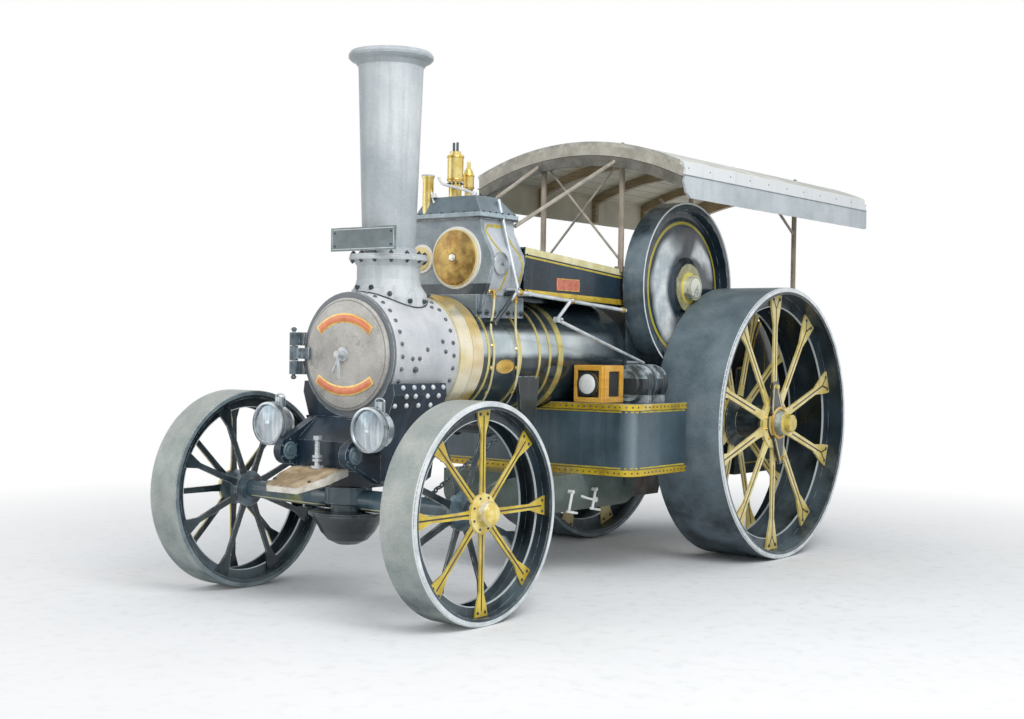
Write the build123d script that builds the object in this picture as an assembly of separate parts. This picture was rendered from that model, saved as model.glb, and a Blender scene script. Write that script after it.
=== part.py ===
from build123d import *
from math import cos, hypot, pi, sin, sqrt
import os

# Steam traction engine, millimetres. x runs to the engine's left (the flywheel side), y runs back
# from the front axle and z up from the floor. The finished parts are moved along y at the end, so
# that the origin lies on the floor at the middle of the overall box.

# Front wheels and axle
wheelbase = 3700
front_wheel_radius = 660
front_wheel_width = 260
front_wheel_inner = 880
front_tyre_thick = 30
front_rim_thick = 18
front_flange_depth = 66
front_spoke_plane = 70
front_spoke_thick = 14
front_spoke_count = 8
front_hub_radius = 72
front_hub_flange = 118
front_stub_radius = 40
axle_beam_radius = 68
axle_end_radius = 56
king_pin_radius = 45
running_clearance = 0.05
turntable_gap = 5

# Rear wheels and axle
rear_wheel_radius = 1067
rear_wheel_width = 580
rear_wheel_inner = 600
rear_tyre_thick = 34
rear_rim_thick = 20
rear_flange_depth = 98
rear_spoke_plane = 160
rear_spoke_thick = 16
rear_spoke_count = 10
rear_hub_radius = 122
rear_hub_flange = 205
rear_axle_radius = 75

# Boiler, smokebox and firebox
boiler_z = 1576
barrel_radius = 388
smokebox_radius = 394
smokebox_plate = 12
smokebox_front = -18
smokebox_back = 600
door_opening_radius = 338
door_radius = 356
door_thick = 26
door_gap = 1
hinge_x = -446
hinge_y = -62
hinge_pin_radius = 12
hinge_height = 272
firebox_length = 740
firebox_back = wheelbase - 400
firebox_front = firebox_back - firebox_length
firebox_bottom = 760
ash_pan_depth = 270

# Chimney
chimney_y = 346
chimney_base_radius = 205
chimney_flange_radius = 257
chimney_flange_z = 2186
chimney_flange_thick = 34
chimney_foot_radius = 172
chimney_top_radius = 211
chimney_top_z = 3525
chimney_wall = 10
cap_radius = 275
flue_radius = 150

# Cylinder block and its fittings
cylinder_front = 930
cylinder_back = 1320
cylinder_half_width = 290
cylinder_bulge = 392
cylinder_top = 2496
low_cylinder_x = 88
low_cover_radius = 210
high_cylinder_x = -222
high_cover_radius = 98
hood_height = 162
hood_lip = 44

# Crankshaft and flywheel
crank_y = wheelbase - 551
crank_z = 2115
crank_radius = 52
flywheel_radius = 665
flywheel_width = 180
flywheel_inner = 412
flywheel_rim = 74

# Motion case
motion_half = 372
motion_wall = 12

# Hornplates
hornplate_thick = 16
hornplate_back = wheelbase + 290
footplate_z = 1150
plate = 8

# Tanks
wheel_gap = 22
tank_half_width = 900
tank_length = 761
tank_back = wheelbase - rear_wheel_radius - wheel_gap
tank_front = tank_back - tank_length
tank_bow = 34
tank_bottom = 737
tank_top = 1245
tank_corner = 110
beading_height = 44
beading_thick = 10
belly_half_width = 500
belly_front = tank_front - 336
belly_bottom = 460

# Tender
tender_half_width = 560
tender_back = wheelbase + 1500
tender_bottom = 600
tender_side_top = 1900
bunker_front = tender_back - 640

# Canopy
canopy_half_width = 956
canopy_front = wheelbase - 1286
canopy_back = wheelbase + 1919
canopy_edge_z = 3000
canopy_crown_z = 3204
canopy_thick = 30
fascia_height = 259
fascia_thick = 18
post_radius = 22
front_post_x = 366
front_post_y = firebox_front - 40
rear_post_x = tender_half_width - 30
rear_post_y = tender_back - 156

# Steering
steer_barrel_y = tank_front - 450
steer_barrel_z = 1070
steer_barrel_radius = 55
steer_barrel_half = 300
worm_wheel_radius = 92
steer_shaft_x = -430
steer_shaft_radius = 16
handwheel_radius = 160
handwheel_y = wheelbase + 100
handwheel_z = 1950
chain_eye_x = 520
chain_eye_y = 96
chain_wire = 13
chain_pitch = 66

overall_front = -front_wheel_radius
origin_y = (overall_front + canopy_back) / 2


def block(x, y, z):
    """A box between the (low, high) pairs x, y and z."""
    pairs = (x, y, z)
    size = [high - low for low, high in pairs]
    middle = [(high + low) / 2 for low, high in pairs]
    return Pos(*middle) * Box(*size)


def rod(start, end, radius):
    """A round bar from one point to another."""
    line = Vector(*end) - Vector(*start)
    plane = Plane(origin=start, z_dir=line)
    return plane * Cylinder(radius, line.length, align=(Align.CENTER, Align.CENTER, Align.MIN))


def across(low, high, radius, y, z):
    """A round bar along x."""
    return rod((low, y, z), (high, y, z), radius)


def along(low, high, radius, x, z):
    """A round bar along y."""
    return rod((x, low, z), (x, high, z), radius)


def upright(low, high, radius, x, y):
    """A round bar along z."""
    return rod((x, y, low), (x, y, high), radius)


def outline(points):
    return make_face(Polyline(*points, close=True))


def slab_x(face, low, high):
    """A face drawn in (y, z), extruded from x = low to x = high."""
    return extrude(Plane.YZ.offset(low) * face, high - low)


def slab_y(face, low, high):
    """A face drawn in (x, z), extruded from y = low to y = high."""
    return extrude(Plane.XZ.offset(-high) * face, high - low)


def slab_z(face, low, high):
    """A face drawn in (x, y), extruded from z = low to z = high."""
    return extrude(Plane.XY.offset(low) * face, high - low)


def turned(profile, plane):
    """(radius, height) points, revolved about the plane's own z axis."""
    face = make_face(Polyline(*[(r, 0, h) for r, h in profile], close=True))
    return plane * revolve(face, Axis.Z, 360)


def axle_plane(y, z):
    """The plane whose z axis is a wheel's axle, so that heights are x."""
    return Plane(origin=(0, y, z), x_dir=(0, 1, 0), z_dir=(1, 0, 0))


def ring_x(outer, inner, low, high, y, z):
    return across(low, high, outer, y, z) - across(low, high, inner, y, z)


def both_sides(shape):
    """The shape and its mirror image on the engine's other side."""
    return Part() + [shape, mirror(shape, Plane.YZ)]


def write(name, *shapes):
    """Moves the shapes to the part's own origin and writes them as one node."""
    solids = [solid for shape in shapes for solid in shape.solids()]
    whole = Compound(children=[Pos(0, -origin_y, 0) * solid for solid in solids])
    export_step(whole, f"parts/{name}.step")


os.makedirs("parts", exist_ok=True)


# Wheels: a tyre on a rolled rim with two flange rings inside, and two rows of flat spokes that
# are cast into the hub and riveted to the flange rings. The two rows are staggered.

def spoke_row(y, z, low, high, count, phase, profile):
    """profile: (distance from the axle, half width) from the hub out to the rim."""
    upper = [(y + r, z + w) for r, w in profile]
    lower = [(y + r, z - w) for r, w in reversed(profile)]
    spoke = slab_x(outline(upper + lower), low, high)
    axle = Axis((0, y, z), (1, 0, 0))
    return [spoke.rotate(axle, phase + 360 * i / count) for i in range(count)]


def wheel_tyre(y, radius, width, inner, thick):
    tyre = ring_x(radius, radius - thick, inner, inner + width, y, radius)
    edges = tyre.edges().filter_by(GeomType.CIRCLE).sort_by(SortBy.RADIUS)[-2:]
    return fillet(edges, thick / 3)


def wheel_rim(y, radius, width, inner, tyre_thick, rim_thick, depth, plane_x, thick):
    centre = inner + width / 2
    outer = radius - tyre_thick
    inset = 5
    rim = ring_x(outer, outer - rim_thick, inner + inset, inner + width - inset, y, radius)
    for side in (-1, 1):
        faces = sorted((centre + side * plane_x, centre + side * (plane_x - thick)))
        rim += ring_x(outer - rim_thick, outer - rim_thick - depth, *faces, y, radius)
    return rim


def wheel_spokes(y, z, centre, plane_x, thick, count, profile, hub_profile, bore_profile):
    hub = turned(hub_profile, axle_plane(y, z))
    rows = []
    for side, phase in ((1, 90), (-1, 90 + 180 / count)):
        faces = sorted((centre + side * plane_x, centre + side * (plane_x + thick)))
        rows += spoke_row(y, z, *faces, count, phase, profile)
    return hub + rows - turned(bore_profile, axle_plane(y, z))


front_centre = front_wheel_inner + front_wheel_width / 2
front_outer = front_wheel_inner + front_wheel_width
front_rim_inside = front_wheel_radius - front_tyre_thick - front_rim_thick
front_spoke_face = front_centre + front_spoke_plane + front_spoke_thick
front_spoke_profile = [
    (front_hub_radius - 10, 30), (front_hub_flange + 60, 21), (front_rim_inside - 150, 19),
    (front_rim_inside - front_flange_depth, 46), (front_rim_inside - 4, 60),
]
front_hub_low = front_centre - 112
front_hub_high = front_centre + 176
front_hub_profile = [
    (0, front_hub_low), (front_hub_radius, front_hub_low),
    (front_hub_radius, front_centre - front_spoke_plane - front_spoke_thick - 8),
    (front_hub_flange, front_centre - front_spoke_plane - front_spoke_thick - 8),
    (front_hub_flange, front_centre - front_spoke_plane + 10),
    (front_hub_radius + 16, front_centre), (front_hub_flange, front_centre + front_spoke_plane - 10),
    (front_hub_flange, front_spoke_face + 8), (front_hub_radius + 6, front_spoke_face + 14),
    (front_hub_radius + 2, front_hub_high - 26), (front_hub_radius - 14, front_hub_high - 8),
    (front_hub_radius - 40, front_hub_high), (0, front_hub_high),
]
front_bore = front_stub_radius + running_clearance
front_stub_end = front_hub_high - 40
front_bore_profile = [
    (0, front_hub_low - 1), (front_bore, front_hub_low - 1),
    (front_bore, front_stub_end + 2), (0, front_stub_end + 2),
]

rear_centre = rear_wheel_inner + rear_wheel_width / 2
rear_rim_inside = rear_wheel_radius - rear_tyre_thick - rear_rim_thick
rear_spoke_face = rear_centre + rear_spoke_plane + rear_spoke_thick
rear_spoke_profile = [
    (rear_hub_radius - 10, 44), (rear_hub_flange + 90, 31), (rear_rim_inside - 250, 28),
    (rear_rim_inside - rear_flange_depth, 74), (rear_rim_inside - 5, 92),
]
rear_hub_low = rear_centre - rear_spoke_plane - rear_spoke_thick - 42
rear_hub_high = rear_spoke_face + 40
rear_cap_high = rear_hub_high + 128
rear_hub_profile = [
    (0, rear_hub_low), (rear_hub_radius, rear_hub_low),
    (rear_hub_radius, rear_centre - rear_spoke_plane - rear_spoke_thick - 10),
    (rear_hub_flange, rear_centre - rear_spoke_plane - rear_spoke_thick - 10),
    (rear_hub_flange, rear_centre - rear_spoke_plane + 14),
    (rear_hub_radius + 6, rear_centre - rear_spoke_plane + 60),
    (rear_hub_radius + 6, rear_centre + rear_spoke_plane - 60),
    (rear_hub_flange, rear_centre + rear_spoke_plane - 14),
    (rear_hub_flange, rear_spoke_face + 10), (rear_hub_radius, rear_spoke_face + 18),
    (rear_hub_radius, rear_hub_high), (96, rear_hub_high), (92, rear_cap_high - 60),
    (72, rear_cap_high - 50), (68, rear_cap_high - 8), (56, rear_cap_high), (0, rear_cap_high),
]
rear_bore = rear_axle_radius + running_clearance
rear_axle_end = rear_hub_high + 20
rear_bore_profile = [
    (0, rear_hub_low - 1), (rear_bore, rear_hub_low - 1),
    (rear_bore, rear_axle_end + 2), (0, rear_axle_end + 2),
]
drive_plate_reach = 330
drive_plate_half = 96
drive_plate_thick = 20
drive_plate_tilt = 12


def drive_plate():
    """The lozenge plate that pins the rear wheel to its axle."""
    y, z = wheelbase, rear_wheel_radius
    waist = drive_plate_half
    tip = 34
    points = [
        (y - tip, z + drive_plate_reach), (y + tip, z + drive_plate_reach), (y + waist, z + waist),
        (y + waist, z - waist), (y + tip, z - drive_plate_reach), (y - tip, z - drive_plate_reach),
        (y - waist, z - waist), (y - waist, z + waist),
    ]
    low = rear_spoke_face + 18
    lozenge = slab_x(outline(points), low, low + drive_plate_thick)
    studs = Part()
    for step in (-1, 1):
        at = z + step * (drive_plate_reach - 40)
        studs += across(rear_spoke_face, low + drive_plate_thick + 26, 20, y, at)
    return (lozenge + studs).rotate(Axis((0, y, z), (1, 0, 0)), drive_plate_tilt)


front_tyre = wheel_tyre(0, front_wheel_radius, front_wheel_width, front_wheel_inner, front_tyre_thick)
front_rim = wheel_rim(
    0, front_wheel_radius, front_wheel_width, front_wheel_inner, front_tyre_thick,
    front_rim_thick, front_flange_depth, front_spoke_plane, 12,
)
front_spokes = wheel_spokes(
    0, front_wheel_radius, front_centre, front_spoke_plane, front_spoke_thick,
    front_spoke_count, front_spoke_profile, front_hub_profile, front_bore_profile,
)
rear_tyre = wheel_tyre(
    wheelbase, rear_wheel_radius, rear_wheel_width, rear_wheel_inner, rear_tyre_thick
)
rear_rim = wheel_rim(
    wheelbase, rear_wheel_radius, rear_wheel_width, rear_wheel_inner, rear_tyre_thick,
    rear_rim_thick, rear_flange_depth, rear_spoke_plane, 14,
)
rear_spokes = wheel_spokes(
    wheelbase, rear_wheel_radius, rear_centre, rear_spoke_plane, rear_spoke_thick,
    rear_spoke_count, rear_spoke_profile, rear_hub_profile, rear_bore_profile,
)
rear_spokes += drive_plate() - turned(rear_bore_profile, axle_plane(wheelbase, rear_wheel_radius))
wheel_pieces = (
    # name, left-hand shape
    ("front_tyre", front_tyre),
    ("front_rim", front_rim),
    ("front_spokes", front_spokes),
    ("rear_tyre", rear_tyre),
    ("rear_rim", rear_rim),
    ("rear_spokes", rear_spokes),
)
for name, shape in wheel_pieces:
    write(name + "_left", shape)
    write(name + "_right", mirror(shape, Plane.YZ))


# Front axle: a round beam that thins towards its ends, the turntable boss that turns under the
# perch bracket, the bell below it and two eyes for the steering chains.
turntable_radius = 150
turntable_top = front_wheel_radius + axle_beam_radius + 14
bell_radius = 250
bell_bottom = 372
axle_half = front_hub_low - 6
beam = turned(
    [
        (0, -axle_half), (axle_end_radius, -axle_half), (axle_end_radius, -axle_half + 60),
        (axle_beam_radius, -turntable_radius - 120), (axle_beam_radius, turntable_radius + 120),
        (axle_end_radius, axle_half - 60), (axle_end_radius, axle_half), (0, axle_half),
    ],
    axle_plane(0, front_wheel_radius),
)
stubs = both_sides(across(axle_half, front_stub_end, front_stub_radius, 0, front_wheel_radius))
boss = upright(front_wheel_radius - 20, turntable_top, turntable_radius, 0, 0)
bell = turned(
    [
        (0, bell_bottom), (70, bell_bottom + 6), (128, bell_bottom + 34), (172, bell_bottom + 84),
        (202, bell_bottom + 140), (232, bell_bottom + 178), (bell_radius, bell_bottom + 196),
        (bell_radius, bell_bottom + 214), (110, bell_bottom + 220), (110, front_wheel_radius - 30),
        (0, front_wheel_radius - 30),
    ],
    Plane.XY,
)
chain_eyes = Part()
for side in (-1, 1):
    x = side * chain_eye_x
    heights = (front_wheel_radius - 30, front_wheel_radius + 30)
    lug = block((x - 14, x + 14), (30, chain_eye_y + 26), heights)
    chain_eyes += lug - across(x - 20, x + 20, 15, chain_eye_y, front_wheel_radius)
king_hole = upright(bell_bottom + 60, turntable_top + 1, king_pin_radius + running_clearance, 0, 0)
write("front_axle", beam + stubs + boss + bell + chain_eyes - king_hole)


# Perch bracket: the saddle riveted under the smokebox, with two lobed cheeks reaching forward,
# and the king pin that hangs from it.
perch_bottom = turntable_top + turntable_gap
perch_front = -42
perch_back = 478
cheek_x = 284
cheek_thick = 60
cheek_lobe_y = -268
cheek_lobe_z = 966
cheek_lobe_radius = 84
smokebox_solid = along(smokebox_front - 200, smokebox_back + 60, smokebox_radius, 0, boiler_z)
saddle_face = outline([
    (-388, 1400), (-398, 1330), (-330, 1130), (-272, perch_bottom + 40), (-210, perch_bottom),
    (210, perch_bottom), (272, perch_bottom + 40), (330, 1130), (398, 1330), (388, 1400),
])
saddle = slab_y(saddle_face, perch_front, perch_back) - smokebox_solid
saddle -= block((-460, 460), (perch_front - 1, smokebox_front), (1180, 1420))
cheek_side = outline([
    (perch_front, 1175), (cheek_lobe_y - 52, cheek_lobe_z + 66), (cheek_lobe_y - 20, cheek_lobe_z - 60),
    (perch_front, perch_bottom + 30),
])
cheeks = Part()
for side in (-1, 1):
    x = side * cheek_x
    faces = (x - cheek_thick / 2, x + cheek_thick / 2)
    cheek = slab_x(cheek_side, *faces)
    cheek += across(*faces, cheek_lobe_radius, cheek_lobe_y, cheek_lobe_z)
    cheek -= across(x - 60, x + 60, 30, cheek_lobe_y, cheek_lobe_z)
    cheek += across(x - 44, x + 44, 30, cheek_lobe_y, cheek_lobe_z)
    cheeks += cheek
nose_inner = cheek_x - cheek_thick / 2
nose = slab_x(
    outline([
        (perch_front, 1165), (cheek_lobe_y + 60, cheek_lobe_z + 70), (cheek_lobe_y + 60, 860),
        (perch_front, 860),
    ]),
    -nose_inner, nose_inner,
)
king_pin = upright(bell_bottom + 64, perch_bottom, king_pin_radius, 0, 0)
write("perch_bracket", saddle + cheeks + nose + king_pin)


# Footboard with the front draw pin standing in it.
footboard_top = 872
footboard_back = cheek_lobe_y + 60
footboard_tip = -575
footboard_half = 200
footboard_thick = 40
draw_pin_y = footboard_back - 70
board_side = outline([
    (footboard_back, footboard_top - footboard_thick), (footboard_back, footboard_top),
    (footboard_back - 92, footboard_top), (footboard_tip, footboard_top - 90),
    (footboard_tip, footboard_top - 90 - footboard_thick),
])
board = slab_x(board_side, -footboard_half, footboard_half)
corner_cut = outline([
    (footboard_half + 1, footboard_tip - 1), (footboard_half - 70, footboard_tip - 1),
    (footboard_half + 1, footboard_tip + 175),
])
board -= both_sides(slab_z(corner_cut, footboard_top - 200, footboard_top))
pin = upright(footboard_top, footboard_top + 190, 17, 0, draw_pin_y)
for low, high, radius in ((0, 16, 40), (44, 58, 32), (66, 80, 32), (176, 200, 28)):
    pin += upright(footboard_top + low, footboard_top + high, radius, 0, draw_pin_y)
write("footboard", board)
write("draw_pin", pin)


# Smokebox: a rolled shell with a front ring, open to the chimney, with the hinge lugs of its door.
shell = along(smokebox_front, smokebox_back, smokebox_radius, 0, boiler_z)
shell -= along(smokebox_front + 18, smokebox_back + 1, smokebox_radius - smokebox_plate, 0, boiler_z)
shell -= along(smokebox_front - 1, 20, door_opening_radius, 0, boiler_z)
shell -= upright(boiler_z, boiler_z + 500, flue_radius, 0, chimney_y)
lugs = Part()
knuckle_height = 96
for step in (-1, 1):
    middle = boiler_z + step * (knuckle_height / 2 + 1 + (hinge_height - knuckle_height) / 4)
    half = (hinge_height - knuckle_height) / 4 - 1
    lug = block((hinge_x, -smokebox_radius + 20), (-36, 60), (middle - half, middle + half))
    lug += block((hinge_x - 24, hinge_x + 24), (hinge_y - 4, 4), (middle - half, middle + half))
    lug += upright(middle - half, middle + half, 28, hinge_x, hinge_y)
    lugs += lug - along(-100, 100, smokebox_radius - 4, 0, boiler_z)
lugs -= along(smokebox_front + 1, 100, smokebox_radius - 1, 0, boiler_z)
hinge_reach = hinge_height / 2 + 12
lugs += upright(boiler_z - hinge_reach, boiler_z + hinge_reach, hinge_pin_radius, hinge_x, hinge_y)
write("smokebox", shell + lugs)

tube_plate_thick = 20
tube_plate_front = smokebox_back - tube_plate_thick
tube_plate_radius = smokebox_radius - smokebox_plate
tube_plate = along(tube_plate_front, smokebox_back, tube_plate_radius, 0, boiler_z)
tube_radius = 24
tube_step = 74
for row in range(-4, 2):
    z = boiler_z - 10 + row * tube_step * 0.87
    for column in range(-4, 5):
        x = (column + (0.5 if row % 2 else 0)) * tube_step
        if hypot(x, z - boiler_z) < tube_plate_radius - tube_radius - 26:
            tube_plate -= along(tube_plate_front - 1, smokebox_back + 1, tube_radius, x, z)
blast_top = boiler_z + 250
blast_bend_z = boiler_z + 150
blast = upright(boiler_z + 120, blast_top, 52, 0, chimney_y)
blast -= upright(blast_top - 90, blast_top + 1, 40, 0, chimney_y)
blast += rod((0, chimney_y, blast_bend_z), (0, tube_plate_front, blast_bend_z), 46)
write("smokebox_inside", tube_plate, blast)


# Smokebox door: a dished disc that closes on the ring, hung on one strap, with its two handles.
door_back = smokebox_front - door_gap
door_front = door_back - door_thick
door_plane = Plane(origin=(0, 0, boiler_z), x_dir=(1, 0, 0), z_dir=(0, -1, 0))
door = turned(
    [
        (0, -door_back), (door_radius, -door_back), (door_radius, -door_front - 12),
        (door_radius - 14, -door_front - 4), (door_radius - 70, -door_front + 6), (150, -door_front + 14),
        (0, -door_front + 16),
    ],
    door_plane,
)
write("smokebox_door", door)
strap_front = hinge_y - 8
knuckle = upright(boiler_z - knuckle_height / 2, boiler_z + knuckle_height / 2, 28, hinge_x, hinge_y)
strap = block((hinge_x, -300), (strap_front, door_front), (boiler_z - 36, boiler_z + 36)) - door
strap = strap.solids().sort_by(SortBy.VOLUME)[-1]
fittings = knuckle + strap
hinge_bore = hinge_pin_radius + running_clearance
fittings -= upright(boiler_z - 80, boiler_z + 80, hinge_bore, hinge_x, hinge_y)
handle_y = door_front - 16
spindle = along(handle_y - 66, handle_y, 20, 0, boiler_z) + along(handle_y - 12, handle_y, 44, 0, boiler_z)
handles = spindle + rod((0, handle_y - 30, boiler_z), (-64, handle_y - 30, boiler_z - 120), 9)
handles += rod((0, handle_y - 54, boiler_z), (24, handle_y - 54, boiler_z - 150), 11)
write("door_fittings", fittings, handles)


# Chimney: the saddle casting, and the barrel that widens upwards to a rolled cap.
foot_z = chimney_flange_z + chimney_flange_thick / 2
smokebox_crown = boiler_z + smokebox_radius
chimney_plane = Plane.XY.move(Pos(0, chimney_y, 0))
base = turned(
    [
        (flue_radius, boiler_z + 200), (chimney_base_radius + 56, boiler_z + 200),
        (chimney_base_radius + 50, smokebox_crown - 26), (chimney_base_radius + 44, smokebox_crown),
        (chimney_base_radius + 10, smokebox_crown + 50), (chimney_base_radius, smokebox_crown + 90),
        (chimney_base_radius, chimney_flange_z - 40), (chimney_base_radius + 20, chimney_flange_z - 12),
        (chimney_flange_radius, chimney_flange_z), (chimney_flange_radius, foot_z), (flue_radius, foot_z),
    ],
    chimney_plane,
)
base -= along(-100, smokebox_back + 100, smokebox_radius, 0, boiler_z)
base -= along(smokebox_back, smokebox_back + 200, smokebox_radius + 40, 0, boiler_z)
write("chimney_saddle", base)
cap_z = chimney_top_z - 96
chimney = turned(
    [
        (chimney_foot_radius - chimney_wall, foot_z), (chimney_flange_radius - 4, foot_z),
        (chimney_flange_radius - 4, foot_z + chimney_flange_thick / 2),
        (chimney_foot_radius + 22, foot_z + chimney_flange_thick / 2 + 4),
        (chimney_foot_radius, foot_z + 60), (chimney_top_radius, cap_z),
        (chimney_top_radius + 22, cap_z + 30), (cap_radius - 14, cap_z + 44), (cap_radius, cap_z + 58),
        (cap_radius, chimney_top_z - 18), (cap_radius - 12, chimney_top_z),
        (chimney_top_radius - chimney_wall, chimney_top_z), (chimney_top_radius - chimney_wall, cap_z),
    ],
    chimney_plane,
)
write("chimney", chimney)

board_width = 560
board_height = 150
board_z = chimney_flange_z + 126
board_thick = 14
board_y = chimney_y - chimney_foot_radius - 62
board_face = block(
    (-board_width / 2, board_width / 2), (board_y - board_thick, board_y),
    (board_z - board_height / 2, board_z + board_height / 2),
)
clamps = Part()
for x in (-90, 90):
    clamps += block((x - 14, x + 14), (board_y, chimney_y - 60), (board_z - 20, board_z + 20))
chimney_solid = turned(
    [(0, foot_z), (chimney_foot_radius + 22, foot_z), (chimney_foot_radius, foot_z + 60),
     (chimney_top_radius, cap_z), (0, cap_z)],
    chimney_plane,
)
write("number_board", board_face + (clamps - chimney_solid))


# Boiler barrel in its cladding, and the brass bands round it. The widest band closes the cladding
# behind the smokebox.
band_thick = 5
barrel = along(smokebox_back, firebox_front, barrel_radius, 0, boiler_z)
write("boiler_barrel", barrel)
band_table = (
    # y of the front edge, width, thickness
    (smokebox_back, 128, 22),
    (smokebox_back + 128, 118, 14),
    (905, 22, band_thick),
    (1250, 24, band_thick),
    (1470, 24, band_thick),
    (1592, 24, band_thick),
    (1700, 60, band_thick + 2),
)
bands = []
for y, width, thick in band_table:
    band = along(y, y + width, barrel_radius + thick, 0, boiler_z)
    bands.append(band - along(y - 1, y + width + 1, barrel_radius, 0, boiler_z))


# Cylinder block on its riveted saddle: one casting for two cylinders side by side, waisted below
# them, with a flange in front and a turned cover on each cylinder.
barrel_solid = along(smokebox_front, firebox_front + 50, barrel_radius, 0, boiler_z)
cylinder_bottom = boiler_z + barrel_radius
block_height = cylinder_top - cylinder_bottom
cylinder_axis_z = cylinder_bottom + 0.51 * block_height
flange_thick = 34
saddle_half = 286
saddle_reach = 100


def block_outline(inset):
    """The casting's (x, z) outline, drawn in by the inset."""
    profile = [
        # half width, share of the height from the boiler's crown to the top
        (cylinder_half_width, 1.0), (cylinder_half_width + 6, 0.86), (cylinder_half_width + 52, 0.70),
        (cylinder_bulge - 8, 0.56), (cylinder_bulge, 0.46), (cylinder_bulge - 10, 0.34),
        (cylinder_bulge - 44, 0.14), (cylinder_bulge - 70, 0.02),
    ]
    right = [(width - inset, cylinder_bottom + share * block_height) for width, share in profile]
    right.append((saddle_half, boiler_z + 200))
    return outline([(-x, z) for x, z in reversed(right)] + right)


core = slab_y(block_outline(0), cylinder_front, cylinder_front + flange_thick)
core += slab_y(block_outline(22), cylinder_front + flange_thick, cylinder_back)
core += block(
    (-saddle_half, saddle_half), (cylinder_front - 30, cylinder_back + saddle_reach),
    (boiler_z + 230, boiler_z + 410),
)
core -= barrel_solid
core -= block(
    (-saddle_half, saddle_half), (cylinder_back, cylinder_back + saddle_reach + 1),
    (cylinder_bottom + 12, cylinder_bottom + 60),
)
cylinders = (
    # x of the axis, radius of the cover
    (low_cylinder_x, low_cover_radius),
    (high_cylinder_x, high_cover_radius),
)
seat_depth = 14
covers = []
for x, radius in cylinders:
    core += along(cylinder_front - seat_depth, cylinder_front, radius, x, cylinder_axis_z)
    cover_plane = Plane(
        origin=(x, cylinder_front - seat_depth, cylinder_axis_z), x_dir=(1, 0, 0), z_dir=(0, -1, 0)
    )
    dish = radius - 18
    covers.append(turned(
        [
            (0, 0), (dish, 0), (dish, 12), (dish - 16, 18), (dish * 0.5, 30), (22, 34), (20, 48), (0, 50),
        ],
        cover_plane,
    ))
write("cylinder_block", core)
for index, band in enumerate(bands):
    bands[index] = band - core
write("boiler_bands", *bands)
write("cylinder_cover", *covers)

hood_bottom = cylinder_top + hood_lip
hood_top = cylinder_top + hood_height
flange = block(
    (-cylinder_half_width - 10, cylinder_half_width + 10), (cylinder_front - 12, cylinder_back + 12),
    (cylinder_top, hood_bottom),
)
hood_length = cylinder_back - cylinder_front
hood_low = Rectangle(2 * cylinder_half_width, hood_length)
hood_high = Rectangle(2 * cylinder_half_width - 150, hood_length - 148)
hood = loft([
    Plane.XY.offset(hood_bottom) * Pos(0, (cylinder_front + cylinder_back) / 2) * hood_low,
    Plane.XY.offset(hood_top) * Pos(0, (cylinder_front + cylinder_back) / 2 - 40) * hood_high,
])
write("cylinder_hood", flange + hood)


# Brass mountings on the cylinder.
valve_x, valve_y = 0, cylinder_front + 75
valves = upright(hood_top, hood_top + 104, 44, valve_x, valve_y)
valves += upright(hood_top + 104, hood_top + 286, 55, valve_x, valve_y)
valves += upright(hood_top + 286, hood_top + 310, 38, valve_x, valve_y)
for x in (-16, 16):
    valves += upright(hood_top + 310, hood_top + 372, 9, valve_x + x, valve_y)
write("safety_valves", valves)
whistle_x, whistle_y = 0, cylinder_front + 217
bottle = turned(
    [(0, hood_top), (26, hood_top), (26, hood_top + 50), (38, hood_top + 70), (38, hood_top + 160),
     (26, hood_top + 200), (14, hood_top + 218), (14, hood_top + 254), (0, hood_top + 260)],
    Plane.XY.move(Pos(whistle_x, whistle_y, 0)),
)
write("whistle", bottle)
lubricator_x, lubricator_y = -216, cylinder_front + 40
pillar = upright(hood_bottom, hood_top + 146, 38, lubricator_x, lubricator_y)
pillar += upright(hood_top + 138, hood_top + 156, 44, lubricator_x, lubricator_y)
pillar += rod(
    (lubricator_x, lubricator_y, hood_top + 120), (lubricator_x + 76, lubricator_y - 20, hood_top - 40), 8
)
write("lubricator", pillar - (flange + hood))


# Motion case between the cylinder and the firebox: a closed sheet trunk round the rods.
motion_front = cylinder_back
motion_back = firebox_front
top_front = cylinder_bottom + 0.68 * block_height
top_back = crank_z + 115
low_front = cylinder_bottom + 30
low_back = crank_z - 152


def motion_side(inset, ends):
    """The case's (y, z) outline, drawn in by the inset and run past its ends."""
    return outline([
        (motion_front - ends, top_front - inset), (motion_back + ends, top_back - inset),
        (motion_back + ends, low_back + inset), (motion_front - ends, low_front + inset),
    ])


case = slab_x(motion_side(0, 0), -motion_half, motion_half)
case -= slab_x(motion_side(motion_wall, 1), -motion_half + motion_wall, motion_half - motion_wall)
write("motion_case", case - barrel_solid - core)


# Firebox wrapper with its ash pan, and the hornplates that carry crankshaft and rear axle.
arch = Pos(0, boiler_z) * Circle(barrel_radius) + Pos(0, (boiler_z + firebox_bottom) / 2) * Rectangle(
    2 * barrel_radius, boiler_z - firebox_bottom
)
wrapper = slab_y(arch, firebox_front, firebox_back)
fire_hole_z = footplate_z + 190
fire_hole_radius = 170
wrapper -= along(firebox_back - 60, firebox_back + 1, fire_hole_radius, 0, fire_hole_z)
pan_bottom = firebox_bottom - ash_pan_depth
ash_pan = slab_x(
    outline([
        (firebox_front + 30, firebox_bottom), (firebox_back - 20, firebox_bottom),
        (firebox_back - 120, pan_bottom), (firebox_front + 30, pan_bottom),
    ]),
    68 - barrel_radius, barrel_radius - 68,
)
fire_door = along(firebox_back - 40, firebox_back + 14, fire_hole_radius - 10, 0, fire_hole_z)
fire_door += along(firebox_back - 40, firebox_back, fire_hole_radius - 0.3, 0, fire_hole_z)
write("firebox", wrapper, ash_pan, fire_door)

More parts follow.
